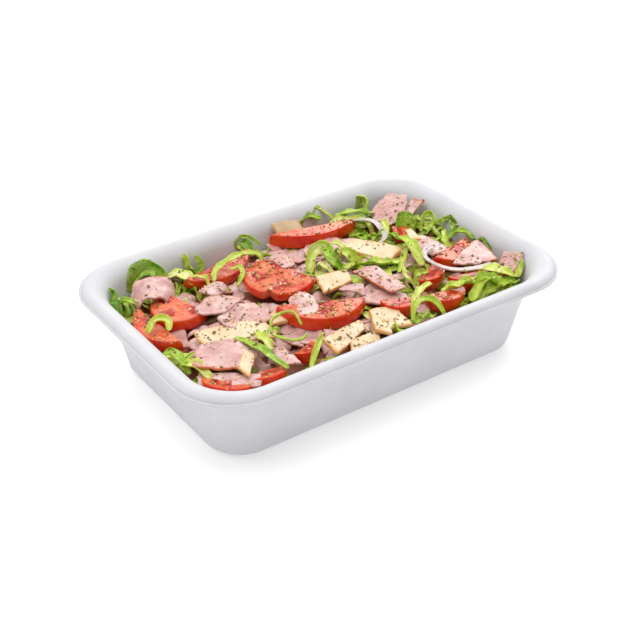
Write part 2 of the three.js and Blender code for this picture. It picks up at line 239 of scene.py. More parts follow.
def ring_faces(rings, around):
    """Quads between rings of points, counter-clockwise seen from above, and a fan at each end. The two
    points of the fans come after the rings."""
    faces = []
    for ring in range(rings - 1):
        low = ring * around
        high = low + around
        for j in range(around):
            k = (j + 1) % around
            faces.append((low + j, low + k, high + k, high + j))
    first = rings * around
    last = (rings - 1) * around
    for j in range(around):
        k = (j + 1) % around
        faces.append((first, k, j))
        faces.append((first + 1, last + j, last + k))
    return faces


def wobble(points, size, seed):
    """Smooth noise from -1 to 1 at each point, with features of the given size in millimetres."""
    shift = Vector((seed * 7.31, seed * 3.17, seed * 1.73))
    return np.array([noise.noise(Vector(p) / size + shift) for p in points])


# %% [markdown]
# ## The camera, the floor and the light
#
# The tray is seen from above one corner, on white. One very big soft light hangs over its far side. A
# weaker one over the near side and a small one low at the right fill the shadows, and the sky adds some
# light from all round. A floor that is only lit turns grey at its edges, so this one also glows a little.
# The near wall leans out over its foot and faces away from the lights above, so it is greyer than the rim.

# %% Camera
VIEW_AZIMUTH = math.radians(-35.3)
VIEW_ELEVATION = math.radians(32.1)
VIEW_DISTANCE = 634.6 * MM
LENS = 66.9
AIM_SHIFT = Vector((-3.45, -3.0, -2.5)) * MM
aim = (cad_box[0] + cad_box[1]) / 2 + AIM_SHIFT
away = Vector((
    math.sin(VIEW_AZIMUTH) * math.cos(VIEW_ELEVATION),
    -math.cos(VIEW_AZIMUTH) * math.cos(VIEW_ELEVATION),
    math.sin(VIEW_ELEVATION),
))
camera = bpy.data.objects.new("camera", bpy.data.cameras.new("camera"))
camera.data.lens = LENS
camera.data.clip_start = 10 * MM
camera.location = aim + away * VIEW_DISTANCE
camera.rotation_euler = away.to_track_quat("Z", "Y").to_euler()
bpy.context.scene.collection.objects.link(camera)
bpy.context.scene.camera = camera
print("camera at", [round(c, 3) for c in camera.location])

# %% Floor and lights
FLOOR_SIZE = 6.0
FLOOR_WHITE = 0.93
FLOOR_GLOW = 0.3
WORLD_LIGHT = 0.36
WHITE = (1, 1, 1, 1)
floor_finish = Finish("white_floor", Roughness=0.9, Emission_Color=WHITE, Emission_Strength=FLOOR_GLOW)
floor_finish.colour((FLOOR_WHITE, FLOOR_WHITE, FLOOR_WHITE, 1))
floor_half = FLOOR_SIZE / 2 / MM
corners = [(-floor_half, -floor_half, 0), (floor_half, -floor_half, 0)]
corners += [(floor_half, floor_half, 0), (-floor_half, floor_half, 0)]
floor = piece("floor", corners, [(0, 1, 2, 3)], floor_finish)
floor.location.z = cad_box[0].z


def softbox(name, place, size, power):
    """A round soft light at a place in metres, which faces the tray."""
    light = bpy.data.objects.new(name, bpy.data.lights.new(name, "AREA"))
    light.data.shape = "DISK"
    light.data.size = size
    light.data.energy = power
    light.location = place
    light.rotation_euler = Vector(place).to_track_quat("Z", "Y").to_euler()
    bpy.context.scene.collection.objects.link(light)


softbox("key", (-0.3, 0.5, 1.8), size=2.8, power=34)
softbox("fill", (0.3, -0.7, 2.0), size=1.6, power=9)
softbox("kicker", (1.1, 0.7, 0.8), size=1.0, power=9)
world = bpy.data.worlds.new("studio")
world.use_nodes = True
world.node_tree.nodes["Background"].inputs["Color"].default_value = WHITE
world.node_tree.nodes["Background"].inputs["Strength"].default_value = WORLD_LIGHT
bpy.context.scene.world = world
bpy.context.scene.view_settings.view_transform = "Standard"

# %% [markdown]
# ## The tray
#
# The tray is one pressed sheet of plant fibre. Its section is a line of straight runs and bends, from the
# floor's edge up the wall and over the rim to a narrow lip. The line is offset by half the sheet to both
# sides and carried round a rectangle with large corners. A loft of rings gives an even, clean wall, where
# a solidified surface would pinch in the corners.

# %% The section of the sheet
SHEET = 1.1
WALL_SLOPE, CREST_SLOPE, HEM_SLOPE = 79, 20, -75
FLOOR_BEND, SHOULDER_BEND, BEAD_BEND, HEM_BEND = 5, 11, 3.2, 0.9
LIP_WIDTH = 0.7
LIP_CORNER, FLOOR_CORNER = 32.4, 17


def sheet_line():
    """The middle line of the sheet: columns inset from the lip, height and slope in radians."""
    line = [(0.0, SHEET / 2, 0.0)]

    def bend(slope, radius, steps):
        out, up, start = line[-1]
        end = math.radians(slope)
        side = math.copysign(1, end - start)
        for i in range(1, steps + 1):
            now = start + (end - start) * i / steps
            across = side * radius * (math.sin(now) - math.sin(start))
            rise = side * radius * (math.cos(start) - math.cos(now))
            line.append((out + across, up + rise, now))

    wall, crest = math.radians(WALL_SLOPE), math.radians(CREST_SLOPE)
    shoulder_rise = SHOULDER_BEND * (math.cos(crest) - math.cos(wall))
    bead_rise = BEAD_BEND * (1 - math.cos(crest))
    wall_top = tray_height - SHEET / 2 - bead_rise - shoulder_rise
    bend(WALL_SLOPE, FLOOR_BEND, 10)
    foot_out, foot_up, _ = line[-1]
    wall_run = (wall_top - foot_up) / math.tan(wall)
    for share in np.linspace(0, 1, 9)[1:]:
        line.append((foot_out + wall_run * share, foot_up + (wall_top - foot_up) * share, wall))
    bend(CREST_SLOPE, SHOULDER_BEND, 9)
    bend(HEM_SLOPE, BEAD_BEND, 12)
    bend(0, HEM_BEND, 6)
    lip_out, lip_up, _ = line[-1]
    line.append((lip_out + LIP_WIDTH, lip_up, 0.0))
    line = np.array(line)
    line[:, 0] = line[-1, 0] - line[:, 0]
    return line


line = sheet_line()
floor_inset = line[0, 0]
print(f"sheet line: {len(line)} stations, floor {tray_length - 2 * floor_inset:.0f} mm long")

# %% The tray's rings
def tray_ring(inset, up, per_corner=24, per_side=12):
    """A rounded rectangle around the tray, as far inside its lip as inset says."""
    share = min(max(inset / floor_inset, 0), 1)
    radius = LIP_CORNER + (FLOOR_CORNER - LIP_CORNER) * share
    half_x = tray_length / 2 - inset - radius
    half_y = tray_width / 2 - inset - radius
    signs = ((1, 1), (-1, 1), (-1, -1), (1, -1))

    def on_corner(corner, angle):
        sign_x, sign_y = signs[corner % 4]
        return sign_x * half_x + radius * math.cos(angle), sign_y * half_y + radius * math.sin(angle)

    ring = []
    for corner in range(4):
        for i in range(per_corner + 1):
            ring.append(on_corner(corner, math.pi / 2 * (corner + i / per_corner)))
        start = np.array(ring[-1])
        end = np.array(on_corner(corner + 1, math.pi / 2 * (corner + 1)))
        for along in np.linspace(0, 1, per_side + 1)[1:-1]:
            ring.append(tuple(start + (end - start) * along))
    return np.array([(x, y, up) for x, y in ring])


def offset_line(distance):
    """The section moved off the middle line, towards the inside of the tray where distance is positive."""
    inset = line[:, 0] + np.sin(line[:, 2]) * distance
    return np.stack([inset, line[:, 1] + np.cos(line[:, 2]) * distance], axis=1)


section = np.concatenate([offset_line(-SHEET / 2), offset_line(SHEET / 2)[::-1]])
rings = [tray_ring(inset, up) for inset, up in section]
around = len(rings[0])
tray_points = np.concatenate([*rings, [(0, 0, 0), (0, 0, SHEET)]])
tray_faces = ring_faces(len(rings), around)

# %% [markdown]
# ## The fibre's finish
#
# Pressed sugar-cane fibre is bleached white with a cool cast. It is matt, and close up it shows short
# fibres and the fine net of the drying mould. Noise at two sizes moves the colour a little, and the same
# noise with a fine cell pattern lifts the surface.

# %% Fibre
fibre = Finish("pressed_fibre", Roughness=0.62, IOR=1.45)
spot = fibre.place()
cloud = fibre.noise(spot, 55, detail=4)
grain = fibre.noise(fibre.stretch(spot, (1, 1, 2.2)), 900, detail=2)
net = fibre.cells(spot, 1100)
pale = fibre.mix(cloud.step(0.3, 0.7), tint(214, 213, 217), tint(221, 220, 223))
fibre.colour(fibre.mix(grain.step(0.35, 0.75) * 0.35, pale, tint(204, 203, 207)))
fibre.rough(0.56 + grain * 0.18)
fibre.bump(grain * 0.6 + net * 0.5 + cloud * 0.5, 0.10, 0.55)
piece("fibre_tray", tray_points, tray_faces, fibre, slot="fibre", stands_for=["tray"])
print(f"tray: {len(tray_faces)} faces")


# %% Nothing goes through the wall
def kept_inside(points, gap=0.4):
    """Points that would pass through the tray's wall are moved back inside it."""
    wall = offset_line(SHEET / 2 + gap)[line[:, 2] > math.radians(CREST_SLOPE)]
    wall = wall[np.argsort(wall[:, 1])]
    inset = np.interp(points[:, 2], wall[:, 1], wall[:, 0])
    radius = LIP_CORNER + (FLOOR_CORNER - LIP_CORNER) * np.clip(inset / floor_inset, 0, 1)
    middles = np.stack([tray_length / 2 - inset - radius, tray_width / 2 - inset - radius], axis=1)
    beyond = np.abs(points[:, :2]) - middles
    reach = np.linalg.norm(np.maximum(beyond, 0), axis=1)
    shrink = np.where(reach > radius, radius / np.maximum(reach, 1e-6), 1)
    beyond = np.where(beyond > 0, beyond * shrink[:, None], beyond)
    flat = np.sign(points[:, :2]) * (middles + beyond)
    return np.concatenate([flat, points[:, 2:]], axis=1)

# %% [markdown]
# ## Slices: one recipe for ham, cheese and tomato
#
# A slice is a closed sheet with a rounded rim. Its outline is a ring of points round a middle. Smaller
# copies of the ring fill the face, close together near the rim, where the sheet gets thinner along an
# ellipse. The same points serve for both faces, so the slice is closed by itself. A bend or a ripple moves
# the middle surface, and the faces follow it. A bevelled extrusion would give the same outline, but no
# points inside the face to bend.

# %% Outlines
def polygon_outline(length, width, corners=4, roundness=0.4, tear=0.0, seed=0, count=96, uneven=0.0):
    """A rounded polygon with a flat towards +X. tear is the depth of a ragged edge in millimetres, and
    uneven is how much one end is wider than the other and the sides are skewed."""
    angle = 2 * math.pi * (np.arange(count) + 0.5) / count
    sector = 2 * math.pi / corners
    within = (angle + sector / 2) % sector - sector / 2
    reach = (1 - roundness) / np.cos(within) + roundness
    if corners == 3:
        reach = reach * 2 / 3
    outline = np.stack([np.cos(angle) * reach * length / 2, np.sin(angle) * reach * width / 2], axis=1)
    size = np.ptp(outline, axis=0)
    lean = np.random.default_rng(seed + 500).uniform(-uneven, uneven, 2)
    outline[:, 1] *= 1 + lean[0] * outline[:, 0] / length * 2
    outline[:, 0] += lean[1] * outline[:, 1] * length / width
    outline *= size / np.ptp(outline, axis=0)
    loop = np.stack([outline[:, 0], outline[:, 1], np.full(count, seed * 9.7)], axis=1)
    ragged = wobble(loop, 9, seed + 3) + wobble(loop, 4, seed + 1) + 0.5 * wobble(loop, 1.6, seed + 2)
    return outline * (1 + tear * ragged / np.linalg.norm(outline, axis=1))[:, None]


def round_slice_outline(length, depth, tear=0.25, seed=0, count=120):
    """Part of a round: the skin is the arc on the -Y side, the straight cut is on the +Y side."""
    radius = (length * length / 4 + depth * depth) / (2 * depth)
    narrow = math.asin(min(length / 2 / radius, 1))
    half = math.pi - narrow if depth > radius else narrow
    arc_share = 2 * half * radius / (2 * half * radius + length)
    arc_count = round(count * arc_share)
    angle = np.linspace(-math.pi / 2 - half, -math.pi / 2 + half, arc_count)
    arc = np.stack([radius * np.cos(angle), radius * np.sin(angle) + radius - depth / 2], axis=1)
    chord = np.linspace(arc[-1], arc[0], count - arc_count + 2)[1:-1]
    outline = np.concatenate([arc, chord])
    for _ in range(2):
        outline = (np.roll(outline, 1, 0) + 2 * outline + np.roll(outline, -1, 0)) / 4
    loop = np.stack([outline[:, 0], outline[:, 1], np.full(count, seed * 9.7)], axis=1)
    return outline * (1 + tear * wobble(loop, 6, seed) / np.linalg.norm(outline, axis=1))[:, None], radius


# %% The slice
def slab(outline, thickness, bend=None, edge=0.9, ring_count=15):
    """A closed sheet with a rounded rim. Returns points, faces and, for each point, its place on the flat
    slice, its side from -1 to 1, its distance from the rim, and the sheet's normal."""
    share = np.sin(np.linspace(0, math.pi / 2, ring_count + 1))[1:]
    inset = (1 - share) * np.linalg.norm(outline, axis=1).mean()
    rounding = np.sqrt(1 - np.clip(1 - inset / edge, 0, 1) ** 2)
    order = list(range(ring_count)) + list(range(ring_count - 2, -1, -1))
    side = np.array([-1] * (ring_count - 1) + [0] + [1] * (ring_count - 1))
    flat = np.concatenate([outline * share[i] for i in order] + [np.zeros((2, 2))])
    lift = np.repeat(side * rounding[order], len(outline))
    lift = np.concatenate([lift, [-1, 1]]) * thickness / 2
    rim = np.concatenate([np.repeat(inset[order], len(outline)), [inset[0]] * 2])
    shape = bend or (lambda x, y: np.stack([x, y, np.zeros_like(x)], axis=1))
    tiny = 0.01
    x, y = flat.T
    along = shape(x + tiny, y) - shape(x - tiny, y)
    across = shape(x, y + tiny) - shape(x, y - tiny)
    normal = np.cross(along, across)
    normal /= np.linalg.norm(normal, axis=1)[:, None]
    points = shape(x, y) + normal * lift[:, None]
    return points, ring_faces(len(order), len(outline)), flat, lift / thickness * 2, rim, normal


def bent_sheet(length, width, curl=0.0, wave=0.0, seed=0, ripple=0.35, cone=0.0):
    """A bend down across the width by curl degrees, a wave along the length, and soft ripples. With a
    cone above 0 the bend is tight at one end and wide at the other."""
    radius = width / max(math.radians(curl), 1e-6)

    def shape(x, y):
        around = radius * (1 + cone * x / length)
        turn = y / around
        loose = np.array([noise.noise(Vector((a / 7, b / 7, seed * 3.3))) for a, b in zip(x, y)])
        up = wave * np.sin(math.pi * (2.6 * x / length + y / width)) + ripple * loose
        return np.stack([x, around * np.sin(turn), around * (np.cos(turn) - 1) + up], axis=1)

    return shape


def laid(points, node, turn=0, pitch=0, lean=0, raised=0):
    """Turned as the topping lies, with the middle of its box in the middle of the node's box."""
    turned = np.array(Euler([math.radians(a) for a in (lean, pitch, turn)]).to_matrix())
    points = points @ turned.T
    low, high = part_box(node)
    middle = np.array((low + high) / 2) / MM + (0, 0, raised)
    return points + middle - (points.min(0) + points.max(0)) / 2


landing = []  # the points, faces and dustiness of every surface on which seasoning can land
seed_beds = []  # the same for the gel of the tomatoes, where the seeds are


def topping(node, kind, points, faces, finish, numbers, lie, dust=1.0):
    points = laid(points, node, **lie)
    landing.append((points, faces, dust))
    if "gel" in numbers:
        seed_beds.append((points, faces, np.clip(np.array(numbers["gel"]) * 2, 0, 1)))
    return piece(node + "_" + kind, points, faces, finish, numbers, slot=kind, stands_for=[node])


# %% [markdown]
# ## Ham
#
# Boiled ham is pale pink with lighter grain, moist, and a little see-through at its thin edges. Slices
# from the outside of the joint keep an orange-brown rind. The slices are torn, so their outlines are
# ragged. The colour comes from stretched noise for the grain and a broad noise for blotches, because a
# painted picture would have to be laid out flat for every slice. The rind is a number on the mesh: 1 at
# the rim on the rind's side, and 0 two millimetres further in.

# %% Ham finish
ham_finish = Finish("boiled_ham", IOR=1.4, Coat_Weight=0.2, Coat_Roughness=0.12)
spot = ham_finish.place()
blotch = ham_finish.noise(spot, 130, detail=3)
grain = ham_finish.noise(ham_finish.stretch(spot, (1, 2.6, 1.3)), 420, detail=4)
fat = ham_finish.cells(ham_finish.stretch(spot, (1, 1.7, 1)), 240)
meat = ham_finish.mix(blotch.step(0.3, 0.72), tint(204, 150, 144), tint(236, 207, 200))
meat = ham_finish.mix(ham_finish.number("tone") * 0.6, meat, tint(204, 142, 134))
meat = ham_finish.mix(grain.step(0.45, 0.8) * 0.6, meat, tint(241, 217, 210))
meat = ham_finish.mix(fat.step(0.25, 0.0) * 0.35, meat, tint(245, 228, 221))
meat = ham_finish.mix(ham_finish.number("rind") * 0.95, meat, tint(204, 112, 54))
ham_finish.colour(meat)
ham_finish.rough(0.26 + blotch * 0.25)
ham_finish.bump(grain * 0.7 + fat * 0.4, 0.22, 0.5)
ham_finish.let_light_in(0.2, (1.0, 0.35, 0.25), 1.6)

# %% Ham slices
HAM_THICKNESS = 1.4
# Each row is a slice's length and width, its bend and its lie in degrees. rind is the heading of the middle
# of its rind, and half of the stretch that the rind takes up.
HAM = {
    "ham_back": dict(size=(32, 14), wave=0.8, turn=-20, lean=4),
    "ham_back_side": dict(size=(16, 11), curl=30, turn=80),
    "ham_left_low": dict(size=(22, 10), curl=40, turn=-32, lean=14),
    "ham_under_slice": dict(size=(27, 12), wave=0.6, turn=-40, lean=4),
    "ham_arch": dict(size=(20, 31), curl=150, cone=0.9, turn=60, pitch=-8, ripple=1.3, rind=(0, 70)),
    "ham_right": dict(size=(23, 14), curl=60, turn=-87),
    "ham_tall": dict(size=(27, 19), corners=5, roundness=0.1, curl=24, turn=30, pitch=-20),
    "ham_tall_side": dict(size=(15, 9), roundness=0.1, curl=20, pitch=-31, rind=(0, 50)),
    "ham_corner": dict(size=(17, 11), roundness=0.15, curl=30, turn=28, pitch=-30, rind=(170, 60)),
    "ham_strip": dict(size=(21, 8), curl=50, turn=-90),
    "ham_front_small": dict(size=(14, 9), curl=30, turn=-28, lean=8),
    "ham_pile_left": dict(size=(26, 20), wave=0.8, turn=-4, lean=3),
    "ham_oval": dict(size=(26, 15), roundness=0.9, wave=0.6, turn=-10, lean=4, rind=(80, 70)),
    "ham_roll": dict(size=(15, 14), roundness=0.8, curl=110, turn=20),
    "ham_left": dict(size=(33, 22), roundness=0.2, wave=0.9, turn=-32, lean=5, rind=(-90, 80)),
    "ham_middle": dict(size=(23, 15), roundness=0.8, curl=24, turn=75),
    "ham_slice": dict(size=(31, 14), roundness=0.12, curl=26, turn=-88, rind=(-90, 75)),
    "ham_fold": dict(size=(16, 14), curl=90, corners=3, turn=-20),
    "ham_triangle": dict(size=(32, 23), corners=3, roundness=0.2, turn=2, lean=4, rind=(-40, 70)),
}


def ham_slice(node, size, roundness=0.3, corners=4, curl=0, wave=0, ripple=0.7, cone=0, rind=None, seed=0,
              **lie):
    outline = polygon_outline(*size, corners, roundness, tear=1.1, seed=seed, uneven=0.22)
    sheet = bent_sheet(*size, curl, wave, seed, ripple, cone)
    points, faces, flat, _, rim, normal = slab(outline, HAM_THICKNESS, sheet, edge=0.7)
    rough_cut = 0.16 * wobble(points, 2.6, seed) + 0.07 * wobble(points, 1.1, seed + 3)
    points = points + normal * rough_cut[:, None]
    brown = np.zeros(len(points))
    if rind:
        heading, stretch = rind
        away = (np.degrees(np.arctan2(flat[:, 1], flat[:, 0])) - heading + 180) % 360 - 180
        near = np.clip(1.5 - np.abs(away) / stretch, 0, 1)
        brown = near * np.clip(1.4 - rim / 1.4, 0, 1)
    tone = np.full(len(points), (seed * 0.618) % 1)
    topping(node, "ham", points, faces, ham_finish, {"rind": brown, "tone": tone}, lie, dust=0.7)


for seed, (node, row) in enumerate(HAM.items()):
    ham_slice(node, seed=seed, **row)
print(f"{len(HAM)} ham slices")

# %% [markdown]
# ## Cheese
#
# The cheese is a firm pale one, cut in slabs and broken by hand, so its outlines have sharp corners and
# its faces are almost flat. It is cream on the cut faces and orange towards the dry edges. A bevelled box
# would look sawn, so the slabs come from the slice recipe with sharp corners and a little noise.

# %% Cheese finish
cheese_finish = Finish("pale_cheese", IOR=1.45)
spot = cheese_finish.place()
blotch = cheese_finish.noise(spot, 90, detail=3)
crumb = cheese_finish.noise(spot, 700, detail=3)
cream = cheese_finish.mix(blotch.step(0.3, 0.7), tint(224, 195, 150), tint(236, 216, 184))
edge = cheese_finish.number("edge")
cream = cheese_finish.mix(edge * 0.9, cream, tint(226, 154, 68))
cheese_finish.colour(cheese_finish.mix(crumb.step(0.55, 0.8) * 0.25, cream, tint(216, 178, 122)))
cheese_finish.rough(0.38 + crumb * 0.2)
cheese_finish.bump(crumb * 0.6 + blotch * 0.6, 0.18, 0.5)
cheese_finish.let_light_in(0.25, (1.0, 0.7, 0.35), 1.5)

# %% Cheese slabs
CHEESE_THICKNESS = 2.2
CHEESE = {
    "cheese_back": dict(size=(18, 11), thickness=1.4, turn=-6, lean=50),
    "cheese_left": dict(size=(40, 18), thickness=1.6, turn=-16, pitch=2, lean=3),
    "cheese_middle": dict(size=(16, 13), turn=10, lean=5),
    "cheese_front_right": dict(size=(22, 13), turn=80),
    "cheese_front_low": dict(size=(25, 8), thickness=2, turn=8, lean=14),
    "cheese_centre": dict(size=(23, 16), turn=-3, lean=4),
    "cheese_right": dict(size=(30, 18), thickness=3.4, turn=-62),
    "cheese_front": dict(size=(29, 12), turn=16, lean=12),
    "cheese_front_left": dict(size=(22, 9), turn=66, lean=18),
    "cheese_chip": dict(size=(14, 7), thickness=2, turn=70),
    "cheese_sliver": dict(size=(22, 7), thickness=1.6, turn=48, lean=8),
}


def cheese_slab(node, size, thickness=CHEESE_THICKNESS, seed=0, **lie):
    outline = polygon_outline(*size, 4, 0.06, tear=0.7, seed=seed + 40, uneven=0.34)
    sheet = bent_sheet(*size, curl=6, wave=0.15, seed=seed, ripple=0.25)
    points, faces, _, _, rim, normal = slab(outline, thickness, sheet, edge=0.7)
    break_marks = 0.12 * wobble(points, 3.5, seed) + 0.05 * wobble(points, 1.0, seed + 3)
    points = points + normal * break_marks[:, None]
    edge = np.clip(1.3 - rim / 1.4, 0, 1) * (0.7 + 0.5 * wobble(points, 9, seed + 5))
    topping(node, "cheese", points, faces, cheese_finish, {"edge": edge}, lie, dust=0.5)


for seed, (node, row) in enumerate(CHEESE.items()):
    cheese_slab(node, seed=seed, **row)
print(f"{len(CHEESE)} cheese slabs")

# %% [markdown]
# ## Tomato
#
# A cut tomato has a glossy skin, a pale red wall of flesh, and between the wall and the core a ring of
# chambers with wet red gel and seeds. The chambers are worked out from the distance to the fruit's middle
# and the heading from it. The gel lies a little lower than the flesh, so it is modelled as a dip as well
# as coloured. The mesh carries two numbers: how deep a point lies under the skin, and how far inside a
# chamber it is. The material turns both into colours. Cutting the chambers out with a Boolean would leave
# hard edges and no such numbers.

# %% Tomato finish
tomato_finish = Finish("cut_tomato", IOR=1.4, Coat_Weight=0.45, Coat_Roughness=0.08)
spot = tomato_finish.place()
under_skin = tomato_finish.number("under_skin")
gel = tomato_finish.number("gel")
fibres = tomato_finish.noise(spot, 480, detail=4)
patch = tomato_finish.noise(spot, 90, detail=2)
flesh = tomato_finish.mix(patch.step(0.3, 0.7), tint(216, 76, 42), tint(234, 126, 86))
flesh = tomato_finish.mix(fibres.step(0.45, 0.75) * 0.45, flesh, tint(244, 170, 126))
flesh = tomato_finish.mix(under_skin.step(3.0, 0.6) * 0.55, flesh, tint(214, 52, 20))
wet = tomato_finish.mix(fibres.step(0.3, 0.7), tint(160, 22, 14), tint(204, 52, 34))
inside = tomato_finish.mix(gel.step(-0.5, 0.6), flesh, wet)
skin = tomato_finish.mix(patch.step(0.32, 0.68), tint(224, 36, 6), tint(244, 82, 14))
tomato_finish.colour(tomato_finish.mix(under_skin.step(0.75, 0.35), inside, skin))
tomato_finish.rough(0.20 + fibres * 0.22)
tomato_finish.bump(fibres * under_skin.step(0.3, 0.8), 0.4, 0.6)
tomato_finish.let_light_in(0.2, (1.0, 0.15, 0.08), 1.8)

# %% The chambers of a tomato
GEL_DIP = 0.6


def chamber(reach, heading, lobes, phase):
    """Above 0 inside a gel chamber: reach is 0 at the fruit's middle and 1 at the skin."""
    spoke = np.cos(lobes * heading + phase) + 0.1
    return np.minimum(np.minimum((0.78 - reach) / 0.12, (reach - 0.30) / 0.14), spoke / 0.6)


def smooth_step(values, low, high):
    share = np.clip((values - low) / (high - low), 0, 1)
    return share * share * (3 - 2 * share)


# %% Tomato slices
TOMATO_THICKNESS = 7
NOTCH_HALF = 16  # half of a notch's stretch along the skin, in degrees
# notches are the heading and the depth of each cut into the skin, as a share of the reach there.
SLICES = {
    "tomato_left": dict(size=(43, 12), turn=-86, lean=8),
    "tomato_back_left": dict(size=(50, 13), thickness=6, turn=12, lean=12),
    "tomato_right": dict(size=(32, 12), thickness=6, turn=15, lean=14),
    "tomato_gel": dict(size=(31, 19), turn=-74, lean=8),
    "tomato_back": dict(size=(57, 10), thickness=8, turn=-9, pitch=2, lean=4),
    "tomato_centre": dict(size=(35, 29), thickness=5, notches=((-62, 0.28), (99, 0.25)), dust=2.6,
                          raised=0.8, turn=-72, lean=2),
    "tomato_front": dict(size=(48, 17), thickness=7.5, dust=2.0, turn=-25, lean=2),
}


def tomato_slice(node, size, thickness=TOMATO_THICKNESS, notches=(), dust=1.0, seed=0, **lie):
    outline, radius = round_slice_outline(*size, seed=seed + 70)
    for heading, depth in notches:
        away = (np.degrees(np.arctan2(outline[:, 1], outline[:, 0])) - heading + 180) % 360 - 180
        outline = outline * (1 - depth * np.clip(1 - np.abs(away) / NOTCH_HALF, 0, 1))[:, None]
    points, faces, flat, side, _, normal = slab(outline, thickness, edge=1.3, ring_count=26)
    middle = np.array((0, radius - size[1] / 2))
    spread = flat - middle
    reach = np.linalg.norm(spread, axis=1)
    heading = np.arctan2(spread[:, 1], spread[:, 0])
    gel = chamber(reach / radius, heading, lobes=3 + seed % 2, phase=seed * 1.9)
    gel = gel + 0.9 * wobble(points, 6, seed) + 0.4 * wobble(points, 2.5, seed + 1) - 0.15
    dip = GEL_DIP * smooth_step(gel, -0.2, 0.6) * side
    bumps = 0.18 * wobble(points, 4, seed) + 0.08 * wobble(points, 1.4, seed + 2)
    on_skin = smooth_step(radius - reach, 0.2, 1.5)
    points = points + normal * (bumps * on_skin * np.sign(side) - dip)[:, None]
    under_skin = np.maximum(radius - reach, 0)
    topping(node, "tomato", points, faces, tomato_finish, {"under_skin": under_skin, "gel": gel}, lie, dust)


for seed, (node, row) in enumerate(SLICES.items()):
    tomato_slice(node, seed=seed, **row)

# %% [markdown]
# A wedge is cut from a whole tomato by two cuts that meet along the core. It is swept from end to end as a
# row of sectors: down one cut to the skin, round the skin, and back up the other cut.

# %% Tomato wedges
WEDGE_SPREAD = 78
WEDGES = {
    "tomato_small_right": dict(size=(15, 9), turn=60, lean=30),
    "tomato_front_left": dict(size=(25, 11), turn=-50, lean=25),
    "tomato_front_low": dict(size=(22, 10), turn=-6, lean=25),
    "tomato_small_front": dict(size=(14, 9), turn=20, lean=25),
    "tomato_right_chunk": dict(size=(22, 11), turn=28, lean=30),
    "tomato_right_low": dict(size=(23, 11), turn=-14, lean=30),
    "tomato_chunk_left": dict(size=(20, 11), turn=-22, lean=34),
    "tomato_chunk_right": dict(size=(24, 12), turn=-14, lean=34),
}


def tomato_wedge(node, size, seed=0, cut_points=16, skin_points=22, stations=44, **lie):
    length, depth = size
    half = math.radians(WEDGE_SPREAD / 2)
    cut = np.sin(np.linspace(0, math.pi / 2, cut_points + 1))[1:]
    turn = np.concatenate([np.full(cut_points, half), np.linspace(half, -half, skin_points + 2)[1:-1]])
    turn = np.concatenate([turn, np.full(cut_points, -half), [0]])
    share = np.concatenate([cut, np.ones(skin_points), cut[::-1], [0]])
    sector = np.stack([-np.cos(turn) * share, np.sin(turn) * share], axis=1)
    for _ in range(2):
        sector = (np.roll(sector, 1, 0) + 2 * sector + np.roll(sector, -1, 0)) / 4
    rows = []
    numbers = {"under_skin": [], "gel": []}
    reach = np.linalg.norm(sector, axis=1)
    for angle in np.linspace(0, math.pi, stations + 2)[1:-1]:
        swell = math.sin(angle) ** 0.9
        x = -math.cos(angle) * length / 2
        rows.append(np.stack([np.full(len(sector), x), *(sector.T * depth * swell)], axis=1))
        numbers["under_skin"].append((1 - reach) * depth * swell)
        along = np.minimum((0.74 - reach) / 0.12, (reach - 0.2) / 0.12)
        numbers["gel"].append(np.minimum(along, (0.62 - abs(math.cos(angle))) / 0.15) - 0.2)
    points = np.concatenate([*rows, [(-length / 2, 0, 0), (length / 2, 0, 0)]])
    numbers = {key: np.concatenate([*values, [0, 0]]) for key, values in numbers.items()}
    on_skin = smooth_step(numbers["under_skin"], 0.2, 1.5)
    middle = np.array((0, -depth * 0.55, 0))
    outward = points - middle
    outward /= np.linalg.norm(outward, axis=1)[:, None]
    numbers["gel"] += 0.8 * wobble(points, 5, seed) - 0.3
    dip = 0.4 * smooth_step(numbers["gel"], -0.1, 0.6)
    bumps = 0.25 * wobble(points, 4, seed) + 0.1 * wobble(points, 1.5, seed + 2)
    points = points + outward * (on_skin * bumps - dip)[:, None]
    faces = ring_faces(stations, len(sector))
    topping(node, "tomato", points, faces, tomato_finish, numbers, lie, dust=0.7)


for seed, (node, row) in enumerate(WEDGES.items()):
    tomato_wedge(node, seed=seed, **row)
print(f"{len(SLICES)} tomato slices and {len(WEDGES)} wedges")

# %% [markdown]
# ## Paths
#
# Onion strips and lettuce ribbons follow a path. The path goes smoothly through a few knots, and a frame
# is carried along it: forward, sideways and up. Carrying the frame from point to point keeps a ribbon from
# flipping where the path turns over, which a frame taken from the world's up would do.

# %% Smooth paths and carried frames
def smooth_path(knots, count):
    """Points through the knots on a Catmull-Rom curve."""
    knots = np.asarray(knots, float)
    padded = np.concatenate([[2 * knots[0] - knots[1]], knots, [2 * knots[-1] - knots[-2]]])
    points = []
    for at in np.linspace(0, len(knots) - 1, count):
        i = min(int(at), len(knots) - 2)
        t = at - i
        a, b, c, d = padded[i:i + 4]
        points.append(b + 0.5 * t * (c - a + t * (2 * a - 5 * b + 4 * c - d + t * (3 * (b - c) + d - a))))
    return np.array(points)


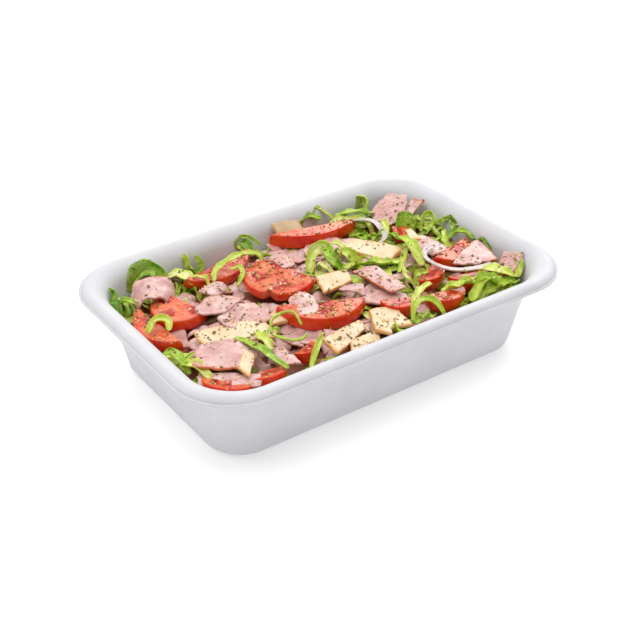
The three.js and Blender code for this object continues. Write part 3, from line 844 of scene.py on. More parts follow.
def carried_frames(path, twist=(0, 0), start_up=(0, 0, 1)):
    """Sideways and up for each point of the path. twist turns them about the path, from start to end."""
    forward = np.gradient(path, axis=0)
    forward /= np.linalg.norm(forward, axis=1)[:, None]
    up = np.array(start_up, float)
    sideways, upward = [], []
    for here in forward:
        up = up - here * (up @ here)
        if np.linalg.norm(up) < 0.05:
            up = np.cross(here, (0.3, 1, 0.2))
        up /= np.linalg.norm(up)
        sideways.append(np.cross(up, here))
        upward.append(up)
    sideways, upward = np.array(sideways), np.array(upward)
    turn = np.radians(np.linspace(*twist, len(path)))[:, None]
    turned_side = sideways * np.cos(turn) + upward * np.sin(turn)
    turned_up = upward * np.cos(turn) - sideways * np.sin(turn)
    return turned_side, turned_up


# %% [markdown]
# ## Onion
#
# An onion strip is part of one layer: a wet, white, half see-through band. Fine lines run along it.

# %% Onion finish
onion_finish = Finish("white_onion", IOR=1.4, Alpha=0.82, Coat_Weight=0.2, Coat_Roughness=0.15)
lines = onion_finish.noise(onion_finish.stretch(onion_finish.vector("grain"), (0.05, 2.4, 1)), 1.0, detail=3)
onion_finish.colour(onion_finish.mix(lines.step(0.35, 0.7), tint(206, 190, 184), tint(238, 230, 226)))
onion_finish.rough(0.22 + lines * 0.15)
onion_finish.bump(lines, 0.12, 0.4)
onion_finish.let_light_in(0.35, (1, 1, 0.9), 2)

# %% Onion strips
ONIONS = {
    "onion_arc": dict(radius=18, sweep=205, width=3.4, thickness=1.5, dip=2, turn=-66),
    "onion_ring": dict(radius=18, sweep=150, width=3.4, thickness=1.2, dip=2, turn=90),
}


def onion_strip(node, radius, sweep, width, thickness, dip, turn, steps=90, around=20):
    share = np.linspace(-0.5, 0.5, steps)
    angle = np.radians(sweep) * share - math.pi / 2
    uneven = 1 + 0.03 * np.sin(5 * share * math.pi)
    up = -dip * 4 * share * share + 0.4 * np.sin(9 * share)
    path = np.stack([radius * uneven * np.cos(angle), radius * (uneven * np.sin(angle) + 1), up], axis=1)
    sideways, upward = carried_frames(path, twist=(-25, 20))
    round_it = np.linspace(0, 2 * math.pi, around, endpoint=False)
    end = np.sqrt(np.clip(1 - np.abs(share * 2) ** 14, 0.02, 1))[:, None, None]
    wide = np.cos(round_it)[None, :, None] * sideways[:, None] * width / 2
    high = np.sin(round_it)[None, :, None] * upward[:, None] * thickness / 2
    belly = (np.cos(round_it) ** 2)[None, :, None] * upward[:, None] * 0.5
    points = (path[:, None] + (wide + high) * end + belly).reshape(-1, 3)
    points = np.concatenate([points, path[[0, -1]]])
    points += 0.1 * wobble(points, 3, 5)[:, None]
    along = np.repeat(share * math.radians(sweep) * radius, around)
    across = np.tile(np.cos(round_it), steps)
    grain = np.stack([along, across, 0 * along], axis=1)
    grain = np.concatenate([grain, grain[[0, -1]]])
    points = laid(points, node, turn=turn)
    faces = ring_faces(steps, around)
    landing.append((points, faces, 0.25))
    vectors = {"grain": grain}
    piece(node + "_strip", points, faces, onion_finish, vectors=vectors, slot="onion", stands_for=[node])


for node, row in ONIONS.items():
    onion_strip(node, **row)
print(f"{len(ONIONS)} onion strips")

# %% [markdown]
# ## The core of the heap
#
# The tray is full of shredded lettuce, but only its top can be seen. A plain core fills the inside, a
# little under the level of the salad, and the real shreds lie on it. The core's top follows the solid that
# it stands for: a ray dropped on that solid gives the height at each point. Crinkles in the top and dark,
# mixed colours make the gaps between the shreds look deep. These colours are lettuce green and ham brown
# with painted shade in them, darker than the lettuce and ham on top, for the shade down between the shreds.

# %% Heap core
CORE_DROP = 2.2
CORE_RINGS = 46
CORE_EDGE = 34  # height of the core at the tray's wall
WALL_GAP = 0.5


def tree_of(points, faces):
    return BVHTree.FromPolygons([Vector(p) for p in points], faces)


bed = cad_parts["salad_bed"].data
bed_tree = tree_of([v.co / MM for v in bed.vertices], [tuple(p.vertices) for p in bed.polygons])
DOWN, UP = Vector((0, 0, -1)), Vector((0, 0, 1))


def bed_height(x, y):
    """Height of the bed's top. Where a ray misses the bed's edge, it is dropped a little further in."""
    for shrink in (1, 0.985, 0.97, 0.95):
        hit = bed_tree.ray_cast(Vector((x * shrink, y * shrink, tray_height)), DOWN)
        if hit[0] is not None:
            return hit[0].z
    return CORE_EDGE


inner_wall = offset_line(SHEET / 2 + WALL_GAP)
fill_line = inner_wall[(inner_wall[:, 1] < CORE_EDGE) & (line[:, 2] >= 0)]
core_rings = [tray_ring(inset, up) for inset, up in fill_line]
edge_ring = core_rings[-1].copy()
for i in range(CORE_RINGS):
    share = 1 - i / CORE_RINGS
    ring = edge_ring * (share, share, 1)
    ring[:, 2] = [bed_height(x, y) for x, y, _ in ring]
    core_rings.append(ring)
top_count = CORE_RINGS * around
core_points = np.concatenate([*core_rings, [(0, 0, fill_line[0, 1]), (0, 0, bed_height(0, 0))]])
crinkle = 0.9 * wobble(core_points, 6, 1) + 0.7 * wobble(core_points, 2.4, 2)
on_top = np.zeros(len(core_points))
on_top[-2 - top_count:-2] = 1
on_top[-1] = 1
core_points[:, 2] += on_top * (crinkle - CORE_DROP)
core_faces = ring_faces(len(core_rings), around)

core_finish = Finish("salad_core_painted_shade", IOR=1.4)
spot = core_finish.place()
green = core_finish.noise(spot, 210, detail=3)
ham_in_painted_shade = core_finish.noise(core_finish.stretch(spot, (1, 1, 1), (3, 1, 2)), 110, detail=2)
# The colours are lettuce and ham darkened with painted shade: the shade deep down between the shreds.
core_colour_painted_shade = core_finish.mix(green.step(0.35, 0.7), tint(58, 66, 14), tint(132, 150, 44))
core_colour_painted_shade = core_finish.mix(ham_in_painted_shade.step(0.3, 0.5), core_colour_painted_shade, tint(150, 84, 66))
core_finish.colour(core_colour_painted_shade)
core_finish.rough(0.35 + green * 0.3)
core_finish.bump(green, 0.8, 0.6)
core = piece("salad_core", core_points, core_faces, core_finish, slot="lettuce", stands_for=["salad_bed"])
print(f"core: {len(core_faces)} faces")

# %% [markdown]
# ## Lettuce
#
# Shredded lettuce is ribbons, mostly three to ten millimetres wide, cut across the leaf. A ribbon is thin,
# curls round its own length and ruffles at its edges. It is nearly white where it crosses the rib and green
# at the leaf's edge, with pale veins. Each ribbon is a sheet with two faces, swept along a path. Its grain
# vector says where a point lies on the leaf, so the veins follow the ribbon however it curls.

# %% Lettuce finish
leaf_finish = Finish("wet_lettuce", IOR=1.38, Coat_Weight=0.3, Coat_Roughness=0.15)
on_leaf = leaf_finish.vector("grain")
spot = leaf_finish.place()
vein_lines = leaf_finish.noise(leaf_finish.stretch(on_leaf, (0.07, 0.5, 1)), 1.0, detail=2)
cross_ribs = leaf_finish.noise(leaf_finish.stretch(on_leaf, (0.3, 0.05, 1)), 1.0, detail=2)
vein_net = leaf_finish.cells(leaf_finish.stretch(on_leaf, (0.25, 0.4, 1)), 1.0, "DISTANCE_TO_EDGE")
cloud = leaf_finish.noise(spot, 120, detail=3)
green = leaf_finish.number("green") + (cloud - 0.5) * 0.5 + (vein_lines - 0.5) * 0.35
leaf = leaf_finish.mix(green.step(0.0, 0.32), tint(236, 236, 170), tint(200, 214, 74))
leaf = leaf_finish.mix(green.step(0.3, 0.62), leaf, tint(146, 184, 34))
leaf = leaf_finish.mix(green.step(0.6, 1.0), leaf, tint(68, 140, 22))
leaf = leaf_finish.mix(vein_lines.step(0.5, 0.6) * 0.45, leaf, tint(198, 216, 92))
leaf = leaf_finish.mix(cross_ribs.step(0.53, 0.6) * 0.6, leaf, tint(208, 224, 104))
veins = vein_net.step(0.07, 0.0) * 0.25
leaf_finish.colour(leaf_finish.mix(veins, leaf, tint(208, 220, 108)))
leaf_finish.rough(0.28 + cloud * 0.22)
leaf_finish.bump(vein_lines * 0.5 + vein_net.step(0.0, 0.14), 0.30, 0.6)
leaf_finish.let_light_in(0.35, (0.7, 1.0, 0.2), 1.5)


# %% A ribbon of leaf
def ribbon(knots, width, green=(0.4, 0.6), cup=70, twist=(0, 0), ruffle=0.5, waves=2.4, ends=0.45,
           thick=0.55, rows=34, across=12, seed=0, start_up=(0, 0, 1)):
    """Points, faces, green numbers and grain vectors of one ribbon. green runs from the first end to the
    last; the edges are greener than the middle. ends is how wide the ends are, as a share of the width."""
    path = smooth_path(knots, rows)
    sideways, upward = carried_frames(path, twist, start_up)
    share = np.linspace(0, 1, rows)
    v = np.linspace(1, -1, across)
    half = width / 2 * (ends + (1 - ends) * np.sin(math.pi * share) ** 0.6)
    half = half * (1 + 0.16 * np.array([noise.noise(Vector((s * 7, seed * 2.7, 0))) for s in share]))
    bend = math.radians(cup)
    along = np.concatenate([[0], np.cumsum(np.linalg.norm(np.diff(path, axis=0), axis=1))])
    phase = np.where(v > 0, seed * 2.1, seed * 3.7 + 1.3)
    frill = np.sin(2 * math.pi * waves * share[:, None] + phase[None]) * np.abs(v[None]) ** 1.6 * ruffle
    soft = np.array([[noise.noise(Vector((a / 5, b * 1.2, seed * 5.1))) for b in v] for a in along])
    side_move = np.sin(bend * v)[None] / bend * half[:, None]
    up_move = (1 - np.cos(bend * v))[None] / bend * half[:, None] + frill + 0.7 * soft
    sheet = path[:, None] + sideways[:, None] * side_move[..., None] + upward[:, None] * up_move[..., None]
    normal = np.cross(np.gradient(sheet, axis=1), np.gradient(sheet, axis=0))
    normal /= np.maximum(np.linalg.norm(normal, axis=2), 1e-6)[..., None]
    normal *= np.sign((normal * upward[:, None]).sum(axis=2).mean())
    body = thick / 2 * np.sqrt(np.clip(1 - np.abs(v) ** 6, 0.06, 1))[None, :, None]
    top, under = sheet + normal * body, sheet - normal * body
    loop = np.concatenate([top, under[:, ::-1]], axis=1)
    points = np.concatenate([loop.reshape(-1, 3), [sheet[0].mean(0), sheet[-1].mean(0)]])
    shade = green[0] + (green[1] - green[0]) * share[:, None] + 0.22 * (np.abs(v[None]) - 0.5)
    shade = np.concatenate([shade, shade[:, ::-1]], axis=1).ravel()
    grain = np.stack(np.broadcast_arrays(along[:, None], v[None] * half[:, None], seed * 11.0), axis=2)
    grain = np.concatenate([grain, grain[:, ::-1]], axis=1).reshape(-1, 3)
    shade = np.concatenate([shade, shade[[0, -1]]])
    grain = np.concatenate([grain, grain[[0, -1]]])
    return points, ring_faces(rows, 2 * across), shade, grain


def joined(parts):
    """Several shapes made one. Each is points, faces, and any further columns with a value for each point."""
    points, faces, start = [], [], 0
    for part in parts:
        points.append(part[0])
        faces.extend(tuple(i + start for i in face) for face in part[1])
        start += len(part[0])
    columns = [np.concatenate([part[k] for part in parts]) for k in range(2, len(parts[0]))]
    return np.concatenate(points), faces, *columns


# %% [markdown]
# The ribbons that stand out are laid one by one, with knots chosen between the toppings: tall
# leaves in the corners, curls that stand on edge, thin wiry strips on the tomatoes, and the broad, pale
# leaves along the near rim.

# %% Ribbons laid one by one
def leaf(knots, width, green, **shape):
    """One ribbon: the knots of its path, its width, how green its two ends are, and what else is special."""
    return dict(knots=knots, width=width, green=green, **shape)


LEAVES_BACK = [
    leaf([(-81, 62, 36), (-78, 66, 42), (-70, 65, 45), (-62, 58, 40)], 11, (0.6, 0.8), cup=60),
    leaf([(-60, 60, 39), (-54, 54, 40.5), (-51, 46, 38)], 9, (0.1, 0.2), cup=40),
    leaf([(-46, 64, 46.5), (-46, 60, 41), (-43, 57, 36)], 6, (0.3, 0.6), twist=(60, 80)),
    leaf([(-41, 62, 45), (-39, 59, 40), (-43, 57, 36)], 4, (0.3, 0.7), twist=(60, 60)),
    leaf([(-43, 39, 40), (-38, 45, 43), (-26, 47, 45.5), (-14, 46, 45), (-10, 41, 41)],
         4.4, (0.3, 0.45), cup=60, waves=5),
    leaf([(-51, 48, 41), (-47, 42, 42.5), (-47, 38, 39)], 2.6, (0.1, 0.3)),
    leaf([(-31, 42, 42), (-27, 39, 43.5), (-29, 32, 43), (-35, 28, 40)], 3.4, (0.2, 0.45)),
    leaf([(-14, 66, 40), (-13, 67, 44), (-7, 63, 46), (-2, 57, 42)], 2.6, (0.4, 0.6)),
    leaf([(-14, 67, 42), (-13, 62, 41), (-12, 56, 39)], 2.2, (0.3, 0.5)),
    leaf([(-9, 65, 43), (-9, 60, 42), (-8, 54, 38)], 7, (0.8, 1.0), twist=(20, 30), ends=0.2),
    leaf([(29, 66, 39), (34, 65, 44.5), (42, 61, 43)], 7, (0.4, 0.5), cup=80),
    leaf([(37, 66, 43), (42, 68, 47.5), (46, 64, 46), (50, 58, 41)], 2.4, (0.3, 0.2)),
    leaf([(52, 60, 42), (61, 54, 45), (73, 50, 42)], 5, (0.45, 0.6), cup=60),
    leaf([(46, 57, 41), (56, 52, 42), (67, 43, 41)], 6, (0.1, 0.2)),
    leaf([(71, 65, 39), (74, 66, 45), (76, 60, 46), (71, 54, 40)], 8, (0.3, 0.6), cup=90,
         twist=(30, 30)),
    leaf([(80, 29, 36), (81, 31, 42), (83, 33, 47.5)], 14, (0.5, 0.85), cup=70, ends=0.3,
         start_up=(-0.6, -0.8, 0)),
    leaf([(86, 23, 38), (90, 27, 44), (96, 26, 46), (94, 20, 43), (86, 18, 38)],
         4.2, (0.35, 0.5), twist=(50, 60)),
    leaf([(99, 21, 41), (103, 17, 44), (102, 10, 43), (95, 7, 39)], 4, (0.6, 0.8), twist=(40, 60)),
    leaf([(103, 17, 46), (102, 12, 43), (96, 7, 39)], 5, (0.7, 0.9), twist=(70, 60)),
    leaf([(93, 10, 42), (87, 2, 41), (86, -4, 38)], 4.6, (0.4, 0.5), twist=(30, 30)),
    leaf([(91, 5, 40), (98, 1, 43.5), (101, -6, 41)], 5, (0.5, 0.7), cup=80),
    leaf([(103, -7, 40), (103, -14, 43), (101, -22, 39)], 6.5, (0.55, 0.8), cup=60),
]
LEAVES_MIDDLE = [
    leaf([(6, 20, 38), (11, 26, 44), (20, 29, 45.5), (26, 26, 41)], 9, (0.3, 0.15), cup=85,
         twist=(10, 20)),
    leaf([(24, 31, 44), (19, 23, 45.5), (18, 16, 43), (22, 10, 38)], 10, (0.6, 0.85), cup=95),
    leaf([(30, 24, 42), (29, 17, 43.5), (34, 12, 38)], 9, (0.5, 0.35), cup=80, twist=(10, 30)),
    leaf([(19, 10, 37), (25, 9, 41), (34, 12, 38)], 6, (0.5, 0.3), cup=60),
    leaf([(29, 33, 44), (31, 26, 44), (33, 21, 39)], 6, (0.1, 0.3), twist=(10, -30), ends=0.2),
    leaf([(11, 20, 42), (13, 15, 41.5), (15, 9, 38)], 4.5, (0.05, 0.15), ends=0.3),
    leaf([(34, 15, 38), (38, 4, 41), (44, -2, 41.5), (53, -2, 40)], 8, (0.5, 0.35), ruffle=0.8,
         waves=3),
    leaf([(66, 19, 42), (63, 9, 45.5), (61, -1, 46), (59, -12, 40)], 7.5, (0.45, 0.3), cup=60,
         twist=(-15, 25)),
    leaf([(61, 5, 43), (53, -3, 42.5), (45, -9, 39)], 4.5, (0.5, 0.3), twist=(30, 0)),
    leaf([(45, -24, 38), (47, -21, 43), (56, -20, 41)], 4.2, (0.35, 0.45), twist=(30, 10)),
    leaf([(49, -8, 41), (43, -17, 41), (45, -24, 38)], 2.8, (0.2, 0.35)),
    leaf([(-96, 14, 40), (-91, 17, 43.4), (-85, 15, 43.4), (-87, 9, 41)], 5.5, (0.3, 0.25)),
    leaf([(-47, -23, 41), (-43, -17, 44.5), (-36, -16, 45.5), (-31, -19, 45.5), (-31, -26, 42)],
         1.7, (0.5, 0.4), thick=0.9, ruffle=0.2),
    leaf([(-47, -24, 41), (-46, -31, 42), (-40, -37, 42), (-35, -36, 43)], 1.9, (0.4, 0.5),
         thick=0.9, ruffle=0.2),
    leaf([(73, 42, 41), (69, 34, 41), (64, 27, 38)], 5, (0.4, 0.2)),
    leaf([(56, 30, 39), (63, 26, 42), (68, 18, 40)], 5, (0.7, 0.5), ruffle=1.2),
]
LEAVES_FRONT = [
    leaf([(-99, 54, 37), (-95, 53, 42.5), (-96, 46, 42), (-97, 40, 36)], 9, (0.8, 1.0), cup=90),
    leaf([(-95, 50, 40), (-90, 45, 41), (-87, 41, 38)], 5, (0.6, 0.5)),
    leaf([(-64, -16, 41), (-62, -29, 43.5), (-60, -41, 43), (-56, -51, 39)], 5, (0.6, 0.75),
         cup=45),
    leaf([(-53, -18, 41), (-55, -27, 43.5), (-55, -35, 41)], 7, (0.4, 0.2), ruffle=1.2),
    leaf([(-100, -4, 37), (-96, -10, 41.5), (-95, -17, 40.5), (-95, -24, 36)], 6, (0.75, 0.5)),
    leaf([(-96, -18, 38), (-92, -25, 40.5), (-89, -34, 37)], 7, (0.3, 0.1)),
    leaf([(-45, -54, 37), (-37, -47, 42), (-25, -36, 40)], 4.2, (0.3, 0.5), twist=(20, 60)),
    leaf([(20, -52, 38), (24, -48, 44.5), (30, -48, 46.5), (35, -52, 44.5), (36, -57, 40)],
         4.6, (0.35, 0.5), twist=(-20, 10)),
    leaf([(27, -43, 42), (35, -38, 44.5), (47, -33, 43)], 4.8, (0.15, 0.3), cup=60),
    leaf([(18, -52, 38), (25, -54, 40), (33, -53, 38)], 7, (0.5, 0.7), ruffle=1.3),
    leaf([(50, -38, 40), (60, -44, 43.5), (70, -48, 44.5), (81, -50, 43)], 8, (0.3, 0.45),
         ruffle=1.2, waves=4),
    leaf([(58, -54, 38), (64, -52, 43), (71, -50, 46), (76, -54, 42)], 10, (0.35, 0.5), cup=95,
         ruffle=1.2),
    leaf([(79, -36, 42), (81, -42, 44.5), (86, -48, 43.5), (93, -50, 40)], 10, (0.15, 0.4),
         cup=40),
    leaf([(62, -55, 38), (75, -54, 42), (91, -53, 39)], 8, (0.4, 0.6), ruffle=1.2, waves=4),
    leaf([(94, -50, 39), (98, -46, 44), (101, -41, 47)], 5, (0.3, 0.65), cup=50),
]
toppings = list(landing)  # every surface so far, before the ribbons are added
for group, rows in (("back", LEAVES_BACK), ("middle", LEAVES_MIDDLE), ("front", LEAVES_FRONT)):
    made = joined([ribbon(seed=i + 1, **row) for i, row in enumerate(rows)])
    points, faces, shade, grain = made
    points = kept_inside(points)
    landing.append((points, faces, 0.35))
    piece("lettuce_" + group, points, faces, leaf_finish, {"green": shade}, {"grain": grain}, "lettuce")
    print(f"{group}: {len(rows)} ribbons, {len(faces)} faces")

# %% [markdown]
# ## Scattering with Geometry Nodes
#
# The small things come in hundreds: shreds between the toppings, scraps of ham and cheese, seeds, herbs
# and spice. Placing them by hand is out of the question, so one Geometry Nodes tree does it for all. It
# drops points on a surface, more of them where the surface's landing number is high, puts one of a few
# shapes on each, turned to lie on the surface with a random tilt, and makes the copies real. A particle
# system would do the same, but its copies don't survive an export.

# %% The scattering tree
def scatter_tree():
    """The tree, and the identifier of each of its inputs by name."""
    tree = bpy.data.node_groups.new("scatter", "GeometryNodeTree")
    sockets = {}
    for name, kind in (
        ("Surface", "Geometry"), ("Shapes", "Collection"), ("Spacing", "Float"), ("Density", "Float"),
        ("Smallest", "Float"), ("Largest", "Float"), ("Tilt", "Float"), ("Sink", "Float"),
        ("Seed", "Int"), ("Finish", "Material"),
    ):
        socket = tree.interface.new_socket(name, in_out="INPUT", socket_type="NodeSocket" + kind)
        sockets[name] = socket.identifier
    tree.interface.new_socket("Scattered", in_out="OUTPUT", socket_type="NodeSocketGeometry")
    given = tree.nodes.new("NodeGroupInput").outputs

    def add(kind, settings=None, **inputs):
        made = tree.nodes.new(kind)
        for name, value in (settings or {}).items():
            setattr(made, name, value)
        for name, value in inputs.items():
            socket = made.inputs[name.replace("_", " ")]
            if isinstance(value, bpy.types.NodeSocket):
                tree.links.new(value, socket)
            else:
                socket.default_value = value
        return made

    def number_socket(sockets, name):
        """The sockets of all data types share a name, so the one for numbers is picked by its type."""
        return next(s for s in sockets if s.name == name and s.type == "VALUE")

    landing_number = add("GeometryNodeInputNamedAttribute", {"data_type": "FLOAT"}, Name="landing")
    dropped = add(
        "GeometryNodeDistributePointsOnFaces", {"distribute_method": "POISSON"}, Mesh=given["Surface"],
        Distance_Min=given["Spacing"], Density_Max=given["Density"],
        Density_Factor=landing_number.outputs["Attribute"], Seed=given["Seed"],
    )
    tilt = tree.nodes.new("ShaderNodeCombineXYZ")
    back = add("ShaderNodeMath", {"operation": "MULTIPLY"})
    back.inputs[1].default_value = -1
    tree.links.new(given["Tilt"], back.inputs[0])
    untilt = tree.nodes.new("ShaderNodeCombineXYZ")
    for axis in "XY":
        tree.links.new(given["Tilt"], tilt.inputs[axis])
        tree.links.new(back.outputs[0], untilt.inputs[axis])
    tilt.inputs["Z"].default_value = 2 * math.pi
    turned = add(
        "FunctionNodeRandomValue", {"data_type": "FLOAT_VECTOR"}, Min=untilt.outputs[0],
        Max=tilt.outputs[0], Seed=given["Seed"],
    )
    spin = add("FunctionNodeEulerToRotation", Euler=turned.outputs["Value"])
    lie = add(
        "FunctionNodeRotateRotation", {"rotation_space": "LOCAL"},
        Rotation=dropped.outputs["Rotation"], Rotate_By=spin.outputs[0],
    )
    size = add("FunctionNodeRandomValue", {"data_type": "FLOAT"}, Seed=given["Seed"])
    tree.links.new(given["Smallest"], number_socket(size.inputs, "Min"))
    tree.links.new(given["Largest"], number_socket(size.inputs, "Max"))
    shapes = add(
        "GeometryNodeCollectionInfo", {"transform_space": "ORIGINAL"}, Collection=given["Shapes"],
        Separate_Children=True, Reset_Children=True,
    )
    copies = add(
        "GeometryNodeInstanceOnPoints", None, Points=dropped.outputs["Points"],
        Instance=shapes.outputs[0], Pick_Instance=True, Rotation=lie.outputs[0],
        Scale=number_socket(size.outputs, "Value"),
    )
    sunk = add("ShaderNodeCombineXYZ", None, Z=given["Sink"])
    moved = add(
        "GeometryNodeTranslateInstances", None, Instances=copies.outputs[0], Translation=sunk.outputs[0],
    )
    moved.inputs["Local Space"].default_value = False
    fate = add("FunctionNodeRandomValue", {"data_type": "FLOAT"}, Seed=given["Seed"])
    marked = add(
        "GeometryNodeStoreNamedAttribute", {"data_type": "FLOAT", "domain": "INSTANCE"},
        Geometry=moved.outputs[0], Name="fate", Value=number_socket(fate.outputs, "Value"),
    )
    real = add("GeometryNodeRealizeInstances", None, Geometry=marked.outputs[0])
    dressed = add("GeometryNodeSetMaterial", None, Geometry=real.outputs[0], Material=given["Finish"])
    out = tree.nodes.new("NodeGroupOutput")
    tree.links.new(dressed.outputs[0], out.inputs[0])
    return tree, sockets


scatter, scatter_sockets = scatter_tree()


def scattered(name, surface, shapes, finish, slot, **settings):
    """Drops copies of the shapes on the surface, as one plain mesh that rides with the tray."""
    kinds = bpy.data.collections.new(name + "_kinds")
    bpy.context.scene.collection.children.link(kinds)
    for shape in shapes:
        bpy.context.scene.collection.objects.unlink(shape)
        kinds.objects.link(shape)
    modifier = surface.modifiers.new("scatter", "NODES")
    modifier.node_group = scatter
    settings = {"Shapes": kinds, "Finish": finish.material, "Sink": 0.0, **settings}
    for key, value in settings.items():
        modifier[scatter_sockets[key]] = value
    bpy.context.view_layer.update()
    graph = bpy.context.evaluated_depsgraph_get()
    mesh = bpy.data.meshes.new_from_object(surface.evaluated_get(graph))
    surface.modifiers.remove(modifier)
    flat = np.zeros(len(mesh.vertices) * 3)
    mesh.vertices.foreach_get("co", flat)
    inside = kept_inside(flat.reshape(-1, 3) / MM, gap=WALL_GAP)
    mesh.vertices.foreach_set("co", (inside * MM).ravel())
    for shape in shapes:
        bpy.data.objects.remove(shape)
    bpy.data.collections.remove(kinds)
    made = bpy.data.objects.new(name, mesh)
    bpy.context.scene.collection.objects.link(made)
    claim(made, slot)
    print(f"{name}: {len(mesh.polygons)} faces")


# %% [markdown]
# ## Shreds and scraps between the toppings
#
# Where no topping lies, the core's top is covered twice: first with curled shreds of lettuce, and then
# with small torn scraps of ham and crumbs of cheese. The right half and the edges get more lettuce, and the
# middle more ham. Close under a topping the landing number falls to 0, to keep the slices whole.

# %% The core's landing number
OPEN_ROOM = 10  # shreds and scraps land freely where the next topping is further above the core than this
LOW_ROOM = 5  # a quarter as many land where it is further than this, and none where it is nearer
top_tree = tree_of(*joined([surface[:2] for surface in toppings]))


def headroom(point, reach=14.0):
    """How far above a point the next topping is, up to reach, and 0 under it."""
    hit = top_tree.ray_cast(Vector(point), UP, reach)
    return reach if hit[0] is None else hit[3]


top_points = core_points[-2 - top_count:-2]
room = np.array([headroom(p) for p in top_points])
spare = np.select([room > OPEN_ROOM, room > LOW_ROOM], [1.0, 0.25])
core.data.attributes.new("landing", "FLOAT", "POINT")


def let_land(share):
    """Sets how much may land on each point of the core's top, as a share of the room that is spare there."""
    values = np.zeros(len(core_points), np.float32)
    values[-2 - top_count:-2] = spare * np.clip(share, 0, 1)
    core.data.attributes["landing"].data.foreach_set("value", values)
    core.data.update()


to_right = smooth_step(top_points[:, 0] + 0.5 * top_points[:, 1], -40, 50)
to_middle = smooth_step(1 - np.linalg.norm(top_points[:, :2] / (98, 65), axis=1), 0.0, 0.3)
ham_bank = np.exp(-((top_points[:, 0] + 2) / 24) ** 2 - ((top_points[:, 1] - 36) / 13) ** 2)
print(f"{(spare > 0.5).mean():.0%} of the core's top is bare")

# %% Loose shreds
generator = np.random.default_rng(11)


def loose_shred(number):
    """A short ribbon that arches over its own middle, with few points because it is repeated so often."""
    length = generator.uniform(10, 20)
    width = generator.uniform(2.6, 6.5)
    bow = generator.uniform(1.5, 4.5)
    sway = generator.uniform(-4, 4)
    knots = [
        (-length / 2, 0, -1), (-length / 6, sway / 2, bow),
        (length / 6, sway, bow * 0.8), (length / 2, 0, -1.5),
    ]
    low = generator.uniform(0.1, 0.6)
    points, faces, shade, grain = ribbon(
        knots, width, green=(low, low + generator.uniform(0, 0.4)), cup=generator.uniform(30, 100),
        twist=(generator.uniform(-50, 50), generator.uniform(-50, 50)), ruffle=generator.uniform(0.4, 1.2),
        waves=generator.uniform(1.5, 4), rows=14, across=5, seed=number + 30,
    )
    return piece(f"shred_{number}", points, faces, leaf_finish, {"green": shade}, {"grain": grain})


shreds = [loose_shred(i) for i in range(12)]
let_land(0.14 + 0.42 * to_right + 0.6 * (1 - to_middle) - 0.6 * ham_bank)
scattered("lettuce_shreds", core, shreds, leaf_finish, "lettuce", Spacing=3.7 * MM, Density=110000.0,
          Smallest=0.7, Largest=1.15, Tilt=0.35, Seed=3)


# %% Scraps of ham and crumbs of cheese
SCRAP_THICKNESS = 1.2


def loose_scrap(number, finish, size, tear, rim_number):
    """A small torn bit of a slice. Its rim number is 0 all over, because it has no rind or dry edge."""
    outline = polygon_outline(*size, 4 + number % 2, 0.2, tear, seed=number + 90, count=28, uneven=0.3)
    sheet = bent_sheet(*size, curl=generator.uniform(10, 120), wave=0.5, seed=number + 9, ripple=0.8)
    points, faces, *_ = slab(outline, SCRAP_THICKNESS, sheet, edge=0.6, ring_count=6)
    numbers = {rim_number: np.zeros(len(points)), "tone": np.full(len(points), (number * 0.37) % 1)}
    return piece(f"scrap_{number}", points, faces, finish, numbers)


ham_scraps = [
    loose_scrap(i, ham_finish, (generator.uniform(10, 19), generator.uniform(6, 11)), 1.0, "rind")
    for i in range(9)
]
let_land((1 - 0.35 * to_right) * to_middle + ham_bank)
scattered("ham_scraps", core, ham_scraps, ham_finish, "ham", Spacing=5.2 * MM, Density=60000.0,
          Smallest=0.75, Largest=1.15, Tilt=0.36, Sink=2.0 * MM, Seed=8)
cheese_crumbs = [
    loose_scrap(i, cheese_finish, (generator.uniform(4, 9), generator.uniform(2.5, 4)), 0.4, "edge")
    for i in range(6)
]
let_land(to_middle)
scattered("cheese_crumbs", core, cheese_crumbs, cheese_finish, "cheese", Spacing=12.0 * MM, Density=13000.0,
          Smallest=0.8, Largest=1.2, Tilt=0.5, Sink=2.2 * MM, Seed=5)

# %% [markdown]
# ## Seasoning
#
# Dried oregano and a coarse spice mix are shaken over everything from above, so they lie on what faces
# up and is not covered. All the surfaces are joined into one landing sheet for this, each with its own
# dustiness, and the sheet is thrown away afterwards. Flakes are small, bent scraps of leaf, and the spice
# is chipped grains.

# %% The landing sheet
STEEPEST = 0.35  # the least upward part of the normal of a surface that holds a flake
SKY = 25  # how far up a flake's way has to be clear


def landing_sheet(surfaces, drift_size=20):
    """The surfaces joined. Their landing number is 0 where something lies over them, and it drifts from
    dense to sparse over drift_size."""
    points = np.concatenate([surface[0] for surface in surfaces])
    weights = np.concatenate([np.broadcast_to(surface[2], len(surface[0])) for surface in surfaces])
    faces = joined([surface[:2] for surface in surfaces])[1]
    sheet = piece("landing_sheet", points, faces, ham_finish)
    normals = np.zeros(len(points) * 3)
    sheet.data.vertices.foreach_get("normal", normals)
    normals = normals.reshape(-1, 3)
    open_sky = np.zeros(len(points))
    for i in np.nonzero((normals[:, 2] > STEEPEST) & (weights > 0))[0]:
        start = Vector(points[i]) + Vector(normals[i]) * 0.3
        open_sky[i] = cover.ray_cast(start, UP, SKY)[0] is None
    drift = 0.12 + 0.88 * smooth_step(wobble(points, drift_size, 4), -0.4, 0.35)
    weights = np.minimum(open_sky * weights * drift * np.clip(normals[:, 2], 0, 1), 1)
    numbers = sheet.data.attributes.new("landing", "FLOAT", "POINT").data
    numbers.foreach_set("value", weights.astype(np.float32))
    return sheet


cover = tree_of(*joined([surface[:2] for surface in landing]))

# %% Tomato seeds
seed_finish = Finish("tomato_seed", Roughness=0.25, Coat_Weight=0.5, Coat_Roughness=0.08)
fate = seed_finish.number("fate")
seed_finish.colour(seed_finish.mix(fate, tint(226, 178, 104), tint(240, 214, 152)))


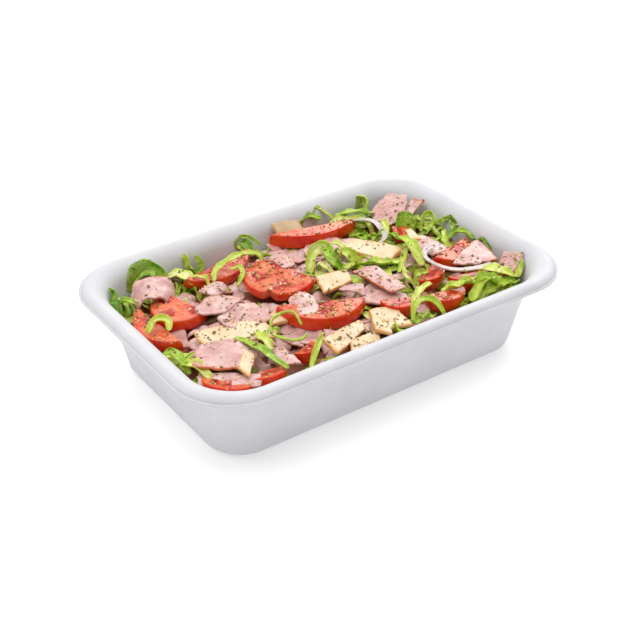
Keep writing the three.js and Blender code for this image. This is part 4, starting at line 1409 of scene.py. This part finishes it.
def tomato_seed(number):
    """A flat teardrop, which narrows towards +X."""
    half_length, half_width, narrowing = 1.25, 0.8, 0.45
    rings = []
    for level, width in ((-0.3, 0.75), (0.0, 1.0), (0.3, 0.7)):
        for i in range(12):
            angle = 2 * math.pi * i / 12
            point = (1 + math.cos(angle)) / 2
            x = half_length * math.cos(angle) * width
            y = half_width * math.sin(angle) * width * (1 - narrowing * point)
            rings.append((x, y, level + 0.1))
    points = np.array([*rings, (0, 0, -0.28), (0, 0, 0.48)]) * generator.uniform(0.85, 1.1)
    return piece(f"seed_{number}", points, ring_faces(3, 12), seed_finish)


sheet = landing_sheet(seed_beds, drift_size=40)
scattered("tomato_seeds", sheet, [tomato_seed(i) for i in range(3)], seed_finish, "tomato",
          Spacing=2.1 * MM, Density=120000.0, Smallest=0.8, Largest=1.1, Tilt=0.3, Seed=13)
bpy.data.objects.remove(sheet)

sheet = landing_sheet(landing)
print(f"landing sheet: {len(sheet.data.polygons)} faces")

# %% Herb flakes
herb_finish = Finish("dried_oregano", Roughness=0.7)
fate = herb_finish.number("fate")
leafy = herb_finish.noise(herb_finish.place(), 900, detail=2)
herb = herb_finish.mix(fate.step(0.0, 0.6), tint(88, 82, 34), tint(136, 120, 58))
herb = herb_finish.mix(fate.step(0.75, 1.0), herb, tint(164, 116, 60))
herb_finish.colour(herb_finish.mix(leafy.step(0.4, 0.7) * 0.4, herb, tint(72, 54, 24)))
herb_finish.rough(0.55 + leafy * 0.3)


def flake(number):
    """A torn bit of dried leaf: a thin pointed oval, folded along its middle."""
    length = generator.uniform(1.5, 2.8)
    width = length * generator.uniform(0.35, 0.6)
    fold = generator.uniform(0.15, 0.4)
    ring = []
    for i in range(8):
        angle = 2 * math.pi * i / 8
        reach = 1 + generator.uniform(-0.25, 0.15)
        ring.append((math.cos(angle) * length / 2 * reach, math.sin(angle) * width / 2 * reach))
    ring = np.array(ring)
    high = fold * np.abs(ring[:, 1]) / width * 2 + 0.12
    top = np.column_stack([ring, high + 0.1])
    under = np.column_stack([ring, high - 0.06])
    points = np.concatenate([under, top, [(0, 0, 0.04), (0, 0, 0.28)]])
    return piece(f"flake_{number}", points, ring_faces(2, 8), herb_finish)


scattered("dried_herbs", sheet, [flake(i) for i in range(10)], herb_finish, "lettuce", Spacing=1.0 * MM,
          Density=80000.0, Smallest=0.4, Largest=1.35, Tilt=0.25, Seed=21)

# %% Spice grains
spice_finish = Finish("coarse_spice", Roughness=0.45)
fate = spice_finish.number("fate")
spice = spice_finish.mix(fate.step(0.0, 0.5), tint(203, 128, 52), tint(232, 190, 104))
spice = spice_finish.mix(fate.step(0.7, 0.9), spice, tint(246, 226, 176))
speckle = spice_finish.noise(spice_finish.place(), 1500, detail=2)
spice_finish.colour(spice_finish.mix(speckle.step(0.5, 0.8) * 0.5, spice, tint(158, 86, 34)))
spice_finish.rough(0.35 + speckle * 0.3)


def spice_grain(number):
    """A chipped grain: a few rings of uneven points, like a small stone."""
    levels = (-0.5, 0.0, 0.5)
    rings = []
    for level in levels:
        width = math.sqrt(1 - (level * 1.2) ** 2)
        for i in range(6):
            angle = 2 * math.pi * i / 6
            reach = width * generator.uniform(0.75, 1.15)
            rings.append((math.cos(angle) * reach * 0.5, math.sin(angle) * reach * 0.4, level * 0.5 + 0.2))
    points = np.array([*rings, (0, 0, -0.15), (0, 0, 0.55)])
    return piece(f"grain_{number}", points, ring_faces(3, 6), spice_finish)


scattered("spice_grains", sheet, [spice_grain(i) for i in range(8)], spice_finish, "cheese",
          Spacing=0.8 * MM, Density=130000.0, Smallest=0.5, Largest=1.5, Tilt=0.6, Seed=34)
bpy.data.objects.remove(sheet)
